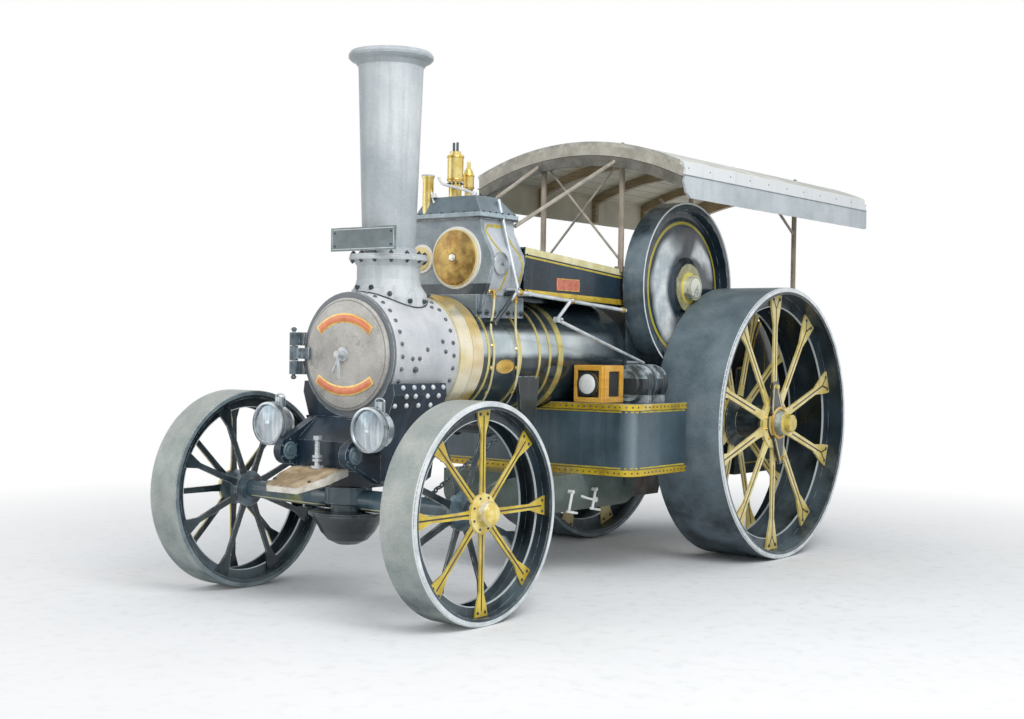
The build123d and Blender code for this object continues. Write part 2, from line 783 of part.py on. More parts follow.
horn_low = barrel_radius
horn_high = barrel_radius + hornplate_thick
bearing_radius = 120
axle_boss_radius = 150
side_step_z = footplate_z + 330
horn_top = crank_z + 135
horn_side = outline([
    (firebox_front, tender_bottom + 150), (hornplate_back, tender_bottom + 20),
    (hornplate_back, side_step_z), (firebox_back + 320, side_step_z + 160), (crank_y + 331, crank_z + 65),
    (crank_y + 251, horn_top), (crank_y - 229, horn_top), (firebox_front, top_back),
])
left_horn = slab_x(horn_side, horn_low, horn_high)
left_horn += across(horn_low - 90, horn_low, bearing_radius, crank_y, crank_z)
left_horn += across(horn_low - 60, horn_low, axle_boss_radius, wheelbase, rear_wheel_radius)
bore_low, bore_high = horn_low - 100, horn_high + 10
left_horn -= across(bore_low, bore_high, crank_radius + running_clearance, crank_y, crank_z)
left_horn -= across(bore_low, bore_high, rear_axle_radius + 0.3, wheelbase, rear_wheel_radius)
horns = both_sides(left_horn)
write("hornplates", horns)

axle = across(-rear_axle_end, rear_axle_end, rear_axle_radius, wheelbase, rear_wheel_radius)
write("rear_axle", axle)

guard_radius = 440
guard_upper_radius = 215
guard_upper = (wheelbase - 280, rear_wheel_radius + 483)
guard_bottom = rear_wheel_radius - 287
guard_low, guard_high = horn_high, rear_wheel_inner - 20
guard = across(-guard_high, -guard_low, guard_radius, wheelbase, rear_wheel_radius)
guard += across(-guard_high, -guard_low, guard_upper_radius, *guard_upper)
guard -= across(-guard_high + plate, -guard_low + 1, guard_radius - plate, wheelbase, rear_wheel_radius)
guard -= across(-guard_high + plate, -guard_low + 1, guard_upper_radius - plate, *guard_upper)
guard_x = (-guard_high - 1, -guard_low + 1)
guard_reach = 2 * guard_radius
guard -= block(guard_x, (hornplate_back, wheelbase + guard_reach), (0, rear_wheel_radius + guard_reach))
guard -= block(guard_x, (wheelbase - guard_reach, wheelbase + guard_reach), (0, guard_bottom))
guard -= across(-guard_high - 1, -guard_low + 1, rear_hub_radius + 20, wheelbase, rear_wheel_radius)
write("gear_guard", guard)


# Crankshaft and flywheel.
fly_outer = flywheel_inner + flywheel_width
fly_hub = 100
fly_cap_radius = 94
fly_cap_reach = 60
shaft = across(-horn_high - 60, fly_outer + fly_cap_reach, crank_radius, crank_y, crank_z)
shaft += across(fly_outer, fly_outer + fly_cap_reach, fly_cap_radius, crank_y, crank_z)
web_gap = 44
web_thick = 40
crank_pin_radius = 42
web_rim = 6
web_reach = crank_z - (boiler_z + barrel_radius) - 11
web_side = crank_pin_radius + web_rim
throw = sqrt(web_reach**2 - web_side**2) - web_side
web_y = (crank_y - web_side, crank_y + web_side)
web_z = (crank_z - 1.7 * web_side, crank_z + throw + web_side)
for x in (-110, 110):
    shaft += block((x - web_gap - web_thick, x - web_gap), web_y, web_z)
    shaft += block((x + web_gap, x + web_gap + web_thick), web_y, web_z)
    shaft -= across(x - web_gap, x + web_gap, crank_radius + 1, crank_y, crank_z)
    shaft += across(x - web_gap, x + web_gap, crank_pin_radius, crank_y, crank_z + throw)
write("crankshaft", shaft)
fly_rim_inside = flywheel_radius - flywheel_rim
fly_profile = [
    (crank_radius, flywheel_inner + 20), (fly_hub, flywheel_inner + 20), (fly_hub + 14, flywheel_inner + 70),
    (fly_rim_inside - 30, flywheel_inner + 96), (fly_rim_inside, flywheel_inner + 60),
    (fly_rim_inside + 16, flywheel_inner), (flywheel_radius, flywheel_inner),
    (flywheel_radius, fly_outer), (fly_rim_inside + 16, fly_outer),
    (fly_rim_inside, fly_outer - 60), (fly_rim_inside - 40, fly_outer - 62),
    (240, fly_outer - 34), (196, fly_outer - 6), (190, fly_outer), (crank_radius, fly_outer),
]
write("flywheel", turned(fly_profile, axle_plane(crank_y, crank_z)))


# Side tanks: one wide box across the engine under the boiler, edged with beading; the belly tank
# hangs below it.
firebox_room = firebox_front - 20


def tank_body(grow, low, high):
    """The tank's plan between two heights, grown outwards in front and at the sides."""
    side = tank_half_width + grow
    front = tank_front - grow
    plan = outline([
        (-side, tank_back), (-side, front + tank_bow), (0, front), (side, front + tank_bow),
        (side, tank_back), (horn_high, tank_back), (horn_high, firebox_room), (-horn_high, firebox_room),
        (-horn_high, tank_back),
    ])
    body = slab_z(plan, low, high)
    uprights = body.edges().filter_by(Axis.Z).filter_by_position(Axis.Y, front + 1, tank_back - 1)
    corners = [edge for edge in uprights if abs(edge.center().X) > side - 1]
    return fillet(corners, tank_corner + grow)


tank = tank_body(0, tank_bottom, tank_top)
barrel_room = along(tank_front - 100, firebox_front + 100, barrel_radius + 8, 0, boiler_z)
write("side_tanks", tank - barrel_room)
strips = Part()
for low in (tank_bottom, tank_top - beading_height):
    strips += tank_body(beading_thick, low, low + beading_height)
strips -= tank
strips -= barrel_room
write("tank_beading", strips)
belly = block(
    (-belly_half_width, belly_half_width), (belly_front, firebox_room), (belly_bottom, tank_bottom)
)
write("belly_tank", fillet(belly.edges().filter_by(Axis.Y).group_by(Axis.Z)[0], 120))


# Square lamps on the tank with the coiled hose behind the left-hand one, and drain cocks below. The
# right-hand lamp stands further out, clear of the steering shaft.
lamp_low_x, lamp_high_x = 392, 640
lamp_front = tank_front + 60
lamp_back = lamp_front + 240
lamp_height = 270
lamp_middle = (lamp_low_x + lamp_high_x) / 2
lamp_body = block((lamp_low_x, lamp_high_x), (lamp_front, lamp_back), (tank_top, tank_top + lamp_height))
lamp_ring = along(lamp_front - 22, lamp_front, 84, lamp_middle, tank_top + lamp_height / 2)
lamp_box = lamp_body + lamp_ring
lamp_shift = 2 * lamp_middle + 84
write("tank_lamps", lamp_box, Pos(-lamp_shift, 0, 0) * lamp_box)
hose_x = 640
hose_radius = 132
hose_front = lamp_back + 70
hose_back = tank_back - 40
hose_z = tank_top + hose_radius + 8
hose = along(hose_front, hose_back, hose_radius, hose_x, hose_z)
for y in (hose_front + 60, hose_back - 110):
    cradle = block((hose_x - 140, hose_x + 140), (y, y + 50), (tank_top, hose_z - 40))
    hose += cradle - along(y - 1, y + 51, hose_radius, hose_x, hose_z)
write("suction_hose", hose)
cocks = Part()
cock_x = belly_half_width + 30
cock_z = belly_bottom + 160
for y in (belly_front + 189, belly_front + 480):
    cocks += across(belly_half_width, cock_x + 12, 14, y, cock_z)
    cocks += rod((cock_x, y, cock_z), (cock_x, y - 40, belly_bottom + 20), 10)
    cocks += rod((cock_x, y - 60, belly_bottom + 26), (cock_x, y + 60, belly_bottom + 6), 9)
write("drain_cocks", both_sides(cocks))


# Tender: the rear tank with the manstand and the coal bunker above it.
tender_x = (-tender_half_width, tender_half_width)
tender = block(tender_x, (hornplate_back, tender_back), (tender_bottom, footplate_z))
side_sheet = outline([
    (hornplate_back, footplate_z), (hornplate_back, side_step_z), (hornplate_back + 190, side_step_z + 20),
    (hornplate_back + 430, tender_side_top), (tender_back, tender_side_top), (tender_back, footplate_z),
])
tender += both_sides(slab_x(side_sheet, tender_half_width - plate, tender_half_width))
tender += block(tender_x, (tender_back - plate, tender_back), (footplate_z, tender_side_top))
tender += block(
    (plate - tender_half_width, tender_half_width - plate), (bunker_front, bunker_front + plate),
    (footplate_z, tender_side_top - 160),
)
tender -= block(
    (-180, 180), (bunker_front - 1, bunker_front + plate + 1), (footplate_z + 1, footplate_z + 320)
)
write("tender", tender)
floor = block(
    (-barrel_radius, barrel_radius), (firebox_back + 20, hornplate_back), (footplate_z, footplate_z + plate)
)
write("footplate", floor - horns)
hitch_z = tender_bottom + 100
jaw = block((-110, 110), (tender_back, tender_back + 30), (hitch_z - 120, hitch_z + 120))
for low in (hitch_z - 70, hitch_z + 34):
    jaw += block((-70, 70), (tender_back + 30, tender_back + 150), (low, low + 36))
hitch_pin_radius = 22
jaw -= upright(hitch_z - 200, hitch_z + 200, hitch_pin_radius, 0, tender_back + 96)
write("drawbar", jaw)
column_x, column_y = tender_half_width - 70, hornplate_back + 340
crank_arm_z = footplate_z + 744
brake = upright(footplate_z, crank_arm_z + 16, 24, column_x, column_y)
brake += upright(footplate_z, footplate_z + 20, 60, column_x, column_y)
brake += upright(crank_arm_z, crank_arm_z + 26, 14, column_x, column_y)
brake += block(
    (column_x - 150, column_x + 20), (column_y - 12, column_y + 12), (crank_arm_z, crank_arm_z + 20)
)
brake += upright(crank_arm_z + 20, crank_arm_z + 106, 16, column_x - 136, column_y)
write("brake_column", brake)


# Canopy: an arched roof on bent ribs, with a side board along each edge, on four posts.
half = canopy_half_width
rise = canopy_crown_z - canopy_edge_z
roof_radius = (half**2 + rise**2) / (2 * rise)
roof_centre = canopy_crown_z - roof_radius


def roof_z(x, radius):
    return roof_centre + sqrt(radius**2 - x**2)


def arched(top, bottom, reach):
    """The (x, z) section between two arcs about the roof's centre, out to |x| = reach."""
    upper = ThreePointArc(
        (-reach, roof_z(reach, top)), (0, roof_z(0, top)), (reach, roof_z(reach, top))
    )
    lower = ThreePointArc(
        (-reach, roof_z(reach, bottom)), (0, roof_z(0, bottom)), (reach, roof_z(reach, bottom))
    )
    ends = [Line((s * reach, roof_z(reach, top)), (s * reach, roof_z(reach, bottom))) for s in (-1, 1)]
    return make_face([upper, lower, *ends])


roof_inside = half - fascia_thick
roof = slab_y(arched(roof_radius, roof_radius - canopy_thick, roof_inside), canopy_front, canopy_back)
write("canopy_roof", roof)
under = roof_radius - canopy_thick
fascia_bottom = canopy_edge_z - fascia_height
end_rib = 60
middle_rib = 46
rib_spacing = (canopy_back - canopy_front) / 4
rib_table = (
    # front face, width, depth, leg down the side board
    (canopy_front, end_rib, 150, 0),
    (canopy_front + rib_spacing, middle_rib, 74, 1),
    (canopy_front + 2 * rib_spacing, middle_rib, 74, 1),
    (canopy_front + 3 * rib_spacing, middle_rib, 74, 1),
    (canopy_back - end_rib, end_rib, 130, 0),
)
ribs = []
for y, width, depth, leg in rib_table:
    rib = slab_y(arched(under, under - depth, roof_inside), y, y + width)
    if leg:
        leg_top = roof_z(roof_inside, under - depth) + 30
        rib += both_sides(block((roof_inside - 40, roof_inside), (y, y + width), (fascia_bottom + 12, leg_top)))
    ribs.append(rib)
write("canopy_ribs", *ribs)
fascia_side = outline([
    (canopy_front, canopy_edge_z), (canopy_back - 110, canopy_edge_z), (canopy_back - 50, canopy_edge_z - 20),
    (canopy_back, canopy_edge_z - 90), (canopy_back, fascia_bottom + 14), (canopy_back - 16, fascia_bottom),
    (canopy_front + 130, fascia_bottom), (canopy_front + 62, fascia_bottom + 40),
    (canopy_front + 30, canopy_edge_z - 150), (canopy_front + 44, canopy_edge_z - 60),
])
write("canopy_fascia", both_sides(slab_x(fascia_side, roof_inside, half)))


def under_roof(x, depth):
    return roof_z(abs(x), roof_radius - canopy_thick - depth)


post_foot = 14
front_foot_z = top_back + (top_front - top_back) * (motion_back - front_post_y) / (motion_back - motion_front)
front_foot_z += 8
posts = Part()
for side in (-1, 1):
    x = side * front_post_x
    posts += upright(front_foot_z, under_roof(front_post_x, 0) - 2, post_radius, x, front_post_y)
    foot = block(
        (x - 34, x + 34), (front_post_y - 34, front_post_y + 34),
        (front_foot_z - 2 * post_foot, front_foot_z + post_foot),
    )
    posts += foot - case
    x = side * rear_post_x
    posts += upright(tender_side_top, under_roof(rear_post_x, 0) - 2, post_radius, x, rear_post_y)
    posts += block(
        (x - 29, x + 29), (rear_post_y - 50, rear_post_y + 50), (tender_side_top, tender_side_top + post_foot)
    )
all_ribs = Part() + ribs
posts = posts - all_ribs - roof
posts -= block((-cylinder_half_width, cylinder_half_width), (motion_front, motion_back), (top_back, top_front))
write("canopy_posts", posts)
brace_high = under_roof(front_post_x, 0) - 60
brace_low = front_foot_z + 60
stays = Part()
for side in (-1, 1):
    top = (side * front_post_x, front_post_y, brace_high)
    stays += rod(top, (side * (cylinder_half_width - 16), cylinder_back + 8, cylinder_top - 24), 14)
    bottom = (-side * front_post_x, front_post_y + side * 9, brace_low)
    stays += rod((side * front_post_x, front_post_y + side * 9, brace_high), bottom, 9)
    x = side * rear_post_x
    stays += rod((x, rear_post_y, under_roof(rear_post_x, 0) - 450), (x, bunker_front - 60, 2990), 12)
stays -= posts
write("canopy_stays", stays - all_ribs - roof - (flange + hood) - core)


# Control rods beside the boiler: the long rod to the reversing gear and the pair that work the
# cocks, with their crank and brackets; then the bar and strap that brace the cylinder block.
rod_x = 520
link_low = 26
link_front = cylinder_front + 108
link_joint = (rod_x + link_low, cylinder_front + 535, boiler_z + 254)
link_top = (rod_x + link_low, cylinder_front + 698, cylinder_bottom + 3)
link_end_y = firebox_front + 20
links = rod((rod_x, link_front, cylinder_bottom + 42), (rod_x, firebox_front - 197, cylinder_bottom - 46), 13)
links += rod(link_top, link_joint, 12)
links += rod(link_joint, (rod_x + link_low, link_end_y, boiler_z - 46), 12)
links += across(rod_x - 12, rod_x + 40, 10, link_top[1], link_top[2])
links += across(rod_x + 8, rod_x + 44, 20, link_joint[1], link_joint[2])
bracket_y = link_front + 142
bracket_z = cylinder_bottom + 42 - 0.0664 * (bracket_y - link_front)
brackets = across(cylinder_half_width, rod_x + 10, 16, bracket_y, bracket_z)
brackets += across(horn_high, rod_x + 12, 14, link_end_y, boiler_z - 46)
bar_foot = (cylinder_bulge + 32, cylinder_front + 246, cylinder_bottom + 62)
bar = rod((cylinder_half_width - 40, cylinder_front + 240, hood_top - 16), bar_foot, 13)
bar += across(cylinder_bulge - 60, bar_foot[0] + 14, 13, bar_foot[1], bar_foot[2])
bar += rod(bar_foot, (barrel_radius + 6, cylinder_front + 40, boiler_z + 222), 15)
bar += across(barrel_radius - 110, barrel_radius + 18, 13, cylinder_front + 40, boiler_z + 222)
fixed = brackets + bar - core - barrel_solid - (flange + hood)
fixed -= Part() + bands
write("control_rods", links, fixed)


# Steering: chain barrel under the boiler, worm shaft to the handwheel, and the two chains.
drum_end = steer_barrel_half
drum_shaft_radius = 24
worm_wheel_x = (steer_shaft_x - 20, steer_shaft_x + 20)
drum = across(-drum_end, drum_end, steer_barrel_radius, steer_barrel_y, steer_barrel_z)
for x in (-drum_end, -10, drum_end - 20):
    drum += across(x, x + 20, steer_barrel_radius + 22, steer_barrel_y, steer_barrel_z)
drum += across(worm_wheel_x[0], drum_end + 80, drum_shaft_radius, steer_barrel_y, steer_barrel_z)
drum += across(*worm_wheel_x, worm_wheel_radius, steer_barrel_y, steer_barrel_z)
write("chain_barrel", drum)
hangers = Part()
hanger_top = boiler_z - 96
for x in (-348, 348):
    face = outline([
        (steer_barrel_y - 60, steer_barrel_z - 50), (steer_barrel_y + 60, steer_barrel_z - 50),
        (steer_barrel_y + 130, hanger_top), (steer_barrel_y - 130, hanger_top),
    ])
    hanger = slab_x(face, x - 14, x + 14) - barrel_solid - bands
    hanger = hanger.solids().sort_by(Axis.Z)[0]
    hanger_bore = drum_shaft_radius + running_clearance
    hangers += hanger - across(x - 20, x + 20, hanger_bore, steer_barrel_y, steer_barrel_z)
shaft_start = Vector(steer_shaft_x, steer_barrel_y - 90, steer_barrel_z + worm_wheel_radius - 4)
shaft_end = Vector(steer_shaft_x, handwheel_y, handwheel_z)
shaft_run = shaft_end - shaft_start
run_step = shaft_run.normalized() * 34
bearing_at = shaft_start + shaft_run * 0.72
bearing = rod(bearing_at - run_step, bearing_at + run_step, 30)
bearing += block(
    (steer_shaft_x, -horn_high), (bearing_at.Y - 24, bearing_at.Y + 24), (bearing_at.Z - 40, bearing_at.Z + 10)
)
bearing -= block(
    (-horn_high, -barrel_radius + 88), (bearing_at.Y - 200, bearing_at.Y + 200),
    (bearing_at.Z - 200, bearing_at.Z + 200),
)
bearing -= rod(shaft_start, shaft_end, steer_shaft_radius + running_clearance)
write("steering_brackets", hangers, bearing)
column = rod(shaft_start, shaft_end, steer_shaft_radius)
wheel_plane = Plane(origin=shaft_end, x_dir=(1, 0, 0), z_dir=shaft_run)
grip_radius = 12
ring_radius = handwheel_radius - grip_radius
rim = wheel_plane * Torus(ring_radius, grip_radius)
arms = Part()
for quarter in range(4):
    turn = quarter * pi / 2
    end = wheel_plane.from_local_coords(Vector(ring_radius * cos(turn), ring_radius * sin(turn), 0))
    arms += rod(shaft_end, end, 9)
hub = wheel_plane * Cylinder(30, 44)
write("steering_wheel", column + rim + arms + hub)


def chain(start, end):
    """Straight-sided links, each turned a quarter from the one before."""
    line = Vector(*end) - Vector(*start)
    count = int(line.length // chain_pitch)
    links = []
    for i in range(count):
        middle = Vector(*start) + line * ((i + 0.5) / count)
        length = line.length / count + chain_wire * 1.6
        flat = Vector(0, 0, 1) if i % 2 else Vector(-line.Y, line.X, 0)
        link = Box(length, chain_wire * 3.6, chain_wire)
        link -= Box(length - 2 * chain_wire, chain_wire * 1.6, chain_wire + 2)
        links.append(Plane(origin=middle, x_dir=line, z_dir=flat) * link)
    return links


chain_table = (
    # side, distance of the last link behind the eye
    (-1, 44.3),
    (1, 42.9),
)
all_links = []
for side, seat in chain_table:
    start = (side * 120, steer_barrel_y - 40, steer_barrel_z - side * (steer_barrel_radius + 26))
    end = (side * chain_eye_x, chain_eye_y + seat, front_wheel_radius + 14)
    all_links += chain(start, end)
write("steering_chains", *all_links)


# Head lamps on brackets from the perch bracket.
lamp_x, lamp_y, lamp_z, lamp_radius = 436, -200, 1128, 134
lamp_plane = Plane(origin=(lamp_x, lamp_y, lamp_z), x_dir=(1, 0, 0), z_dir=(0, -1, 0))
can = turned(
    [
        (0, -70), (88, -60), (112, -20), (116, 40), (lamp_radius, 52), (lamp_radius, 88),
        (lamp_radius - 12, 92), (lamp_radius - 16, 84), (0, 96),
    ],
    lamp_plane,
)
vent = upright(lamp_z + 100, lamp_z + 168, 34, lamp_x, lamp_y + 14)
arm = rod((lamp_x, lamp_y + 30, lamp_z - 96), (230, 10, lamp_z - 190), 20)
lamp = can + vent + arm
write("head_lamps", both_sides(lamp - saddle - cheeks))
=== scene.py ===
import bmesh
import bpy
from math import asin, copysign, cos, degrees, hypot, pi, radians, sin, sqrt
from mathutils import Matrix, Vector


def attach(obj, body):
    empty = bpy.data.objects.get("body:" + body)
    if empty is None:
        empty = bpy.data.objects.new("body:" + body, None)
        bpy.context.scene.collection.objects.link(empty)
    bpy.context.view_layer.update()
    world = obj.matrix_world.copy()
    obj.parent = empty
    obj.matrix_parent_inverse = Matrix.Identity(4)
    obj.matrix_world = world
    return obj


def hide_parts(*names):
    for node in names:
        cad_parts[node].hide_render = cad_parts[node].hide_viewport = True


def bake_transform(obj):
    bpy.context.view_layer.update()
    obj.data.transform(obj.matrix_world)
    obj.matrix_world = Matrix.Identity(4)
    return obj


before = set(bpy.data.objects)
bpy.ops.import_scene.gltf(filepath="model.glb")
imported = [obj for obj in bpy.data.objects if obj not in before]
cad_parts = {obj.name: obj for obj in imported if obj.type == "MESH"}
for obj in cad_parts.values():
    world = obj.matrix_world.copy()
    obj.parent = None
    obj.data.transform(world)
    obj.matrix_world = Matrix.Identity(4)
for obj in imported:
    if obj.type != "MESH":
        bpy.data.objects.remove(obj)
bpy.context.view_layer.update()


# The boiler barrel: riveted plate, lagged and clad in thin rolled steel sheet. It is coach-painted
# dark blue over primer and varnished, and two oil pipes run down over it from brass unions on the
# cylinder. An oval brass cover is screwed to its side.
front_axle_y = -2.4795
boiler_z = 1.576
barrel_r = 0.388


def station(behind):
    """The place along the engine that is this many metres behind the front axle."""
    return front_axle_y + behind


def tint(code):
    """A paint card's hex colour as the linear values that a shader takes."""
    parts = [int(code[i:i + 2], 16) / 255 for i in (0, 2, 4)]
    return [v / 12.92 if v <= 0.04045 else ((v + 0.055) / 1.055) ** 2.4 for v in parts] + [1.0]


class Finish:
    """One finish being made up: a cloudy ground colour, marks laid over it, then grain, and wear with
    painted edge highlights.
    """

    def __init__(self, name, colour, deep, mottle=2.2):
        self.material = bpy.data.materials.new(name)
        self.material.use_nodes = True
        self.tree = self.material.node_tree
        self.shader = self.tree.nodes["Principled BSDF"]
        self.place = self.add("TexCoord").outputs["Object"]
        split = self.add("SeparateXYZ")
        self.feed(split.inputs[0], self.place)
        self.x, self.y, self.z = split.outputs
        self.clouds = self.noise(mottle, 6)
        self.colour = self.mix(self.ramp(self.clouds, 0.36, 0.64), tint(deep), tint(colour))

    def add(self, kind, **settings):
        node = self.tree.nodes.new("ShaderNode" + kind)
        for key, value in settings.items():
            setattr(node, key, value)
        return node

    def feed(self, socket, value):
        if isinstance(value, bpy.types.NodeSocket):
            self.tree.links.new(value, socket)
        else:
            socket.default_value = value

    def noise(self, scale, detail=4, stretch=None):
        node = self.add("TexNoise")
        node.inputs["Scale"].default_value = scale
        node.inputs["Detail"].default_value = detail
        node.inputs["Roughness"].default_value = 0.6
        place = self.place
        if stretch:
            drawn = self.add("VectorMath", operation="MULTIPLY")
            self.feed(drawn.inputs[0], place)
            drawn.inputs[1].default_value = stretch
            place = drawn.outputs[0]
        self.feed(node.inputs["Vector"], place)
        return node.outputs["Fac"]

    def maths(self, how, *values):
        node = self.add("Math", operation=how)
        for socket, value in zip(node.inputs, values):
            self.feed(socket, value)
        return node.outputs[0]

    def ramp(self, value, low, high, bottom=0.0, top=1.0):
        node = self.add("MapRange")
        for socket, number in zip(node.inputs, (value, low, high, bottom, top)):
            self.feed(socket, number)
        return node.outputs[0]

    def mix(self, share, first, second, how="MIX"):
        node = self.add("Mix", data_type="RGBA", blend_type=how)
        for index, value in ((0, share), (6, first), (7, second)):
            self.feed(node.inputs[index], value)
        return node.outputs[2]

    def plus(self, first, second):
        return self.maths("ADD", first, second)

    def less(self, first, second):
        return self.maths("SUBTRACT", first, second)

    def times(self, product, *values):
        """The product; of masks, 1 where every one of them is."""
        for value in values:
            product = self.maths("MULTIPLY", product, value)
        return product

    def above(self, value, limit):
        """1 where the value is greater than the limit."""
        return self.maths("GREATER_THAN", value, limit)

    def below(self, value, limit):
        """1 where the value is less than the limit."""
        return self.maths("LESS_THAN", value, limit)

    def over(self, z):
        """1 on what is higher than z."""
        return self.above(self.z, z)

    def under(self, z):
        """1 on what is lower than z."""
        return self.below(self.z, z)

    def behind(self, y):
        """1 on what is further behind the front axle than y."""
        return self.above(self.y, station(y))

    def before(self, y):
        """1 on what is less far behind the front axle than y."""
        return self.below(self.y, station(y))

    def within(self, value, low, high):
        """1 where the value lies between the two limits."""
        return self.times(self.above(value, low), self.below(value, high))

    def from_axis(self, first, second, a, b):
        """The distance from an axis through (a, b), across the two directions given."""
        across = self.less(first, a)
        up = self.less(second, b)
        return self.maths("SQRT", self.plus(self.times(across, across), self.times(up, up)))

    def from_axle(self, axle):
        """The distance from an axle across the engine, given as (behind the front axle, height)."""
        return self.from_axis(self.y, self.z, station(axle[0]), axle[1])

    def lay(self, mask, code):
        """Paints a colour over the ground where the mask is 1."""
        self.colour = self.mix(mask, self.colour, tint(code))

    def cloud(self, mask, code, deep, scale=6.0):
        """Paints a clouded pair of colours over the ground where the mask is 1."""
        pair = self.mix(self.ramp(self.noise(scale, 5), 0.38, 0.62), tint(deep), tint(code))
        self.colour = self.mix(mask, self.colour, pair)

    def done(self, rough=0.4, metal=0.0, coat=0.0, grain=0.25, bump=0.25, worn=None, relief=None, gloss=0.5):
        """Adds the grain, the streaks, the rubbed edges with their painted highlights and the unevenness,
        and gives the material.
        """
        fine = self.noise(85, 3)
        colour = self.mix(grain, self.colour, fine, "SOFT_LIGHT")
        runs = self.ramp(self.noise(1.0, 4, (9, 9, 0.7)), 0.52, 0.75, 0.0, 0.16)
        colour = self.mix(runs, colour, tint("7e8688"))
        # The pale colour on the edges is wear and also a painted highlight along them.
        if worn:
            eased = self.add("Bevel", samples=4)
            eased.inputs["Radius"].default_value = 0.006
            facing = self.add("VectorMath", operation="DOT_PRODUCT")
            self.feed(facing.inputs[0], eased.outputs[0])
            self.feed(facing.inputs[1], self.add("NewGeometry").outputs["Normal"])
            edge = self.ramp(facing.outputs["Value"], 0.985, 0.9)
            rubbed_and_highlit_edge = self.times(edge, self.ramp(self.noise(14, 3), 0.42, 0.6))
            colour = self.mix(rubbed_and_highlit_edge, colour, tint(worn))
        self.feed(self.shader.inputs["Base Color"], colour)
        uneven = self.ramp(self.clouds, 0.3, 0.7, rough - 0.08, rough + 0.08)
        self.feed(self.shader.inputs["Roughness"], uneven)
        self.shader.inputs["Metallic"].default_value = metal
        self.shader.inputs["Specular IOR Level"].default_value = gloss
        self.shader.inputs["Coat Weight"].default_value = coat
        self.shader.inputs["Coat Roughness"].default_value = 0.08
        lumps = self.add("Bump")
        lumps.inputs["Strength"].default_value = bump
        lumps.inputs["Distance"].default_value = 0.002
        height = self.plus(self.times(fine, 0.3), self.clouds)
        if relief:
            height = self.plus(height, relief)
        self.feed(lumps.inputs["Height"], height)
        self.feed(self.shader.inputs["Normal"], lumps.outputs[0])
        return self.material


def dress(finish, *nodes):
    """Puts a finish on pieces that come ready-shaped from the drawing office."""
    for node in nodes:
        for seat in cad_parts[node].material_slots:
            seat.material = finish


def place_on(piece, finish, body):
    """Sets a new piece out with its finish, fixed to a body where it has one of its own."""
    bpy.context.scene.collection.objects.link(piece)
    piece.data.materials.append(finish)
    if body:
        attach(piece, body)
    return piece


def fit(name, points, faces, finish, body="engine"):
    """Makes a mesh of its faces and its points, (x, behind the front axle, z), and fixes it on."""
    mesh = bpy.data.meshes.new(name)
    mesh.from_pydata([(x, station(y), z) for x, y, z in points], [], faces)
    trued = bmesh.new()
    trued.from_mesh(mesh)
    bmesh.ops.recalc_face_normals(trued, faces=trued.faces)
    trued.to_mesh(mesh)
    trued.free()
    mesh.shade_smooth()
    mesh.set_sharp_from_angle(angle=radians(32))
    return place_on(bpy.data.objects.new(name, mesh), finish, body)


def turned(name, seats, profile, sides, finish, body="engine"):
    """The same (radius, height) turning, solid or a ring, at every (place, facing) seat."""
    points, faces = [], []
    for place, facing in seats:
        turn = Vector(facing).to_track_quat("Z", "Y")
        rings = []
        for radius, height in profile:
            start = len(points)
            count = sides if radius else 1
            for k in range(count):
                angle = 2 * pi * k / sides
                local = Vector((radius * cos(angle), radius * sin(angle), height))
                points.append(Vector(place) + turn @ local)
            rings.append(range(start, start + count))
        pairs = list(zip(rings, rings[1:]))
        is_ring = profile[-1][0] > 0
        if is_ring:
            pairs.append((rings[-1], rings[0]))
        else:
            faces.append(tuple(rings[0]))
        for low, high in pairs:
            for k in range(sides):
                m = (k + 1) % sides
                if len(high) == 1:
                    faces.append((low[k], low[m], high[0]))
                else:
                    faces.append((low[k], low[m], high[m], high[k]))
    fit(name, points, faces, finish, body)


def bent_pipe(name, route, radius, finish):
    """A round bar or pipe, bent smoothly along its route."""
    curve = bpy.data.curves.new(name, "CURVE")
    curve.dimensions = "3D"
    curve.bevel_depth = radius
    curve.bevel_resolution = 3
    curve.use_fill_caps = True
    line = curve.splines.new("NURBS")
    line.points.add(len(route) - 1)
    for point, (x, y, z) in zip(line.points, route):
        point.co = (x, station(y), z, 1)
    line.order_u = 3
    line.use_endpoint_u = True
    line.resolution_u = 8
    place_on(bpy.data.objects.new(name, curve), finish, "engine")


def on_barrel(angle, y, radius):
    """A point round the boiler, by its angle in degrees up from the left-hand side."""
    turn = radians(angle)
    return (radius * cos(turn), y, boiler_z + radius * sin(turn))


def round_barrel(y, radius, angles):
    """Seats round the boiler at the angles given, each facing outwards."""
    seats = []
    for angle in angles:
        turn = radians(angle)
        seats.append((on_barrel(angle, y, radius), (cos(turn), 0, sin(turn))))
    return seats


boiler = Finish("boiler_navy_varnish_painted_reflection", "35454d", "1b272e", 1.6)
# A pale band along the barrel's upper side, fading out towards the back, is a painted reflection.
painted_reflection_band = boiler.ramp(boiler.plus(boiler.z, boiler.times(boiler.noise(5, 3), 0.05)), 1.585, 1.625)
painted_reflection_band = boiler.times(
    painted_reflection_band, boiler.ramp(boiler.z, 1.755, 1.715), boiler.ramp(boiler.y, station(2.45), station(1.85))
)
boiler.cloud(boiler.times(painted_reflection_band, 0.85), "dfe8ea", "b9c7cc", 3.0)
dress(boiler.done(rough=0.24, metal=0.3, coat=0.5, grain=0.15, bump=0.1), "boiler_barrel")

brass = Finish("polished_brass", "e6c368", "b98f3a", 5.0)
brass.cloud(brass.ramp(brass.noise(2.4, 3), 0.52, 0.66), "f3e3b0", "d9b45c")
polished_brass = brass.done(rough=0.24, metal=0.72, grain=0.2, bump=0.12)
cream_enamel = Finish("cream_enamel", "e8e2bd", "cfc78f", 9.0).done(rough=0.38, coat=0.2)

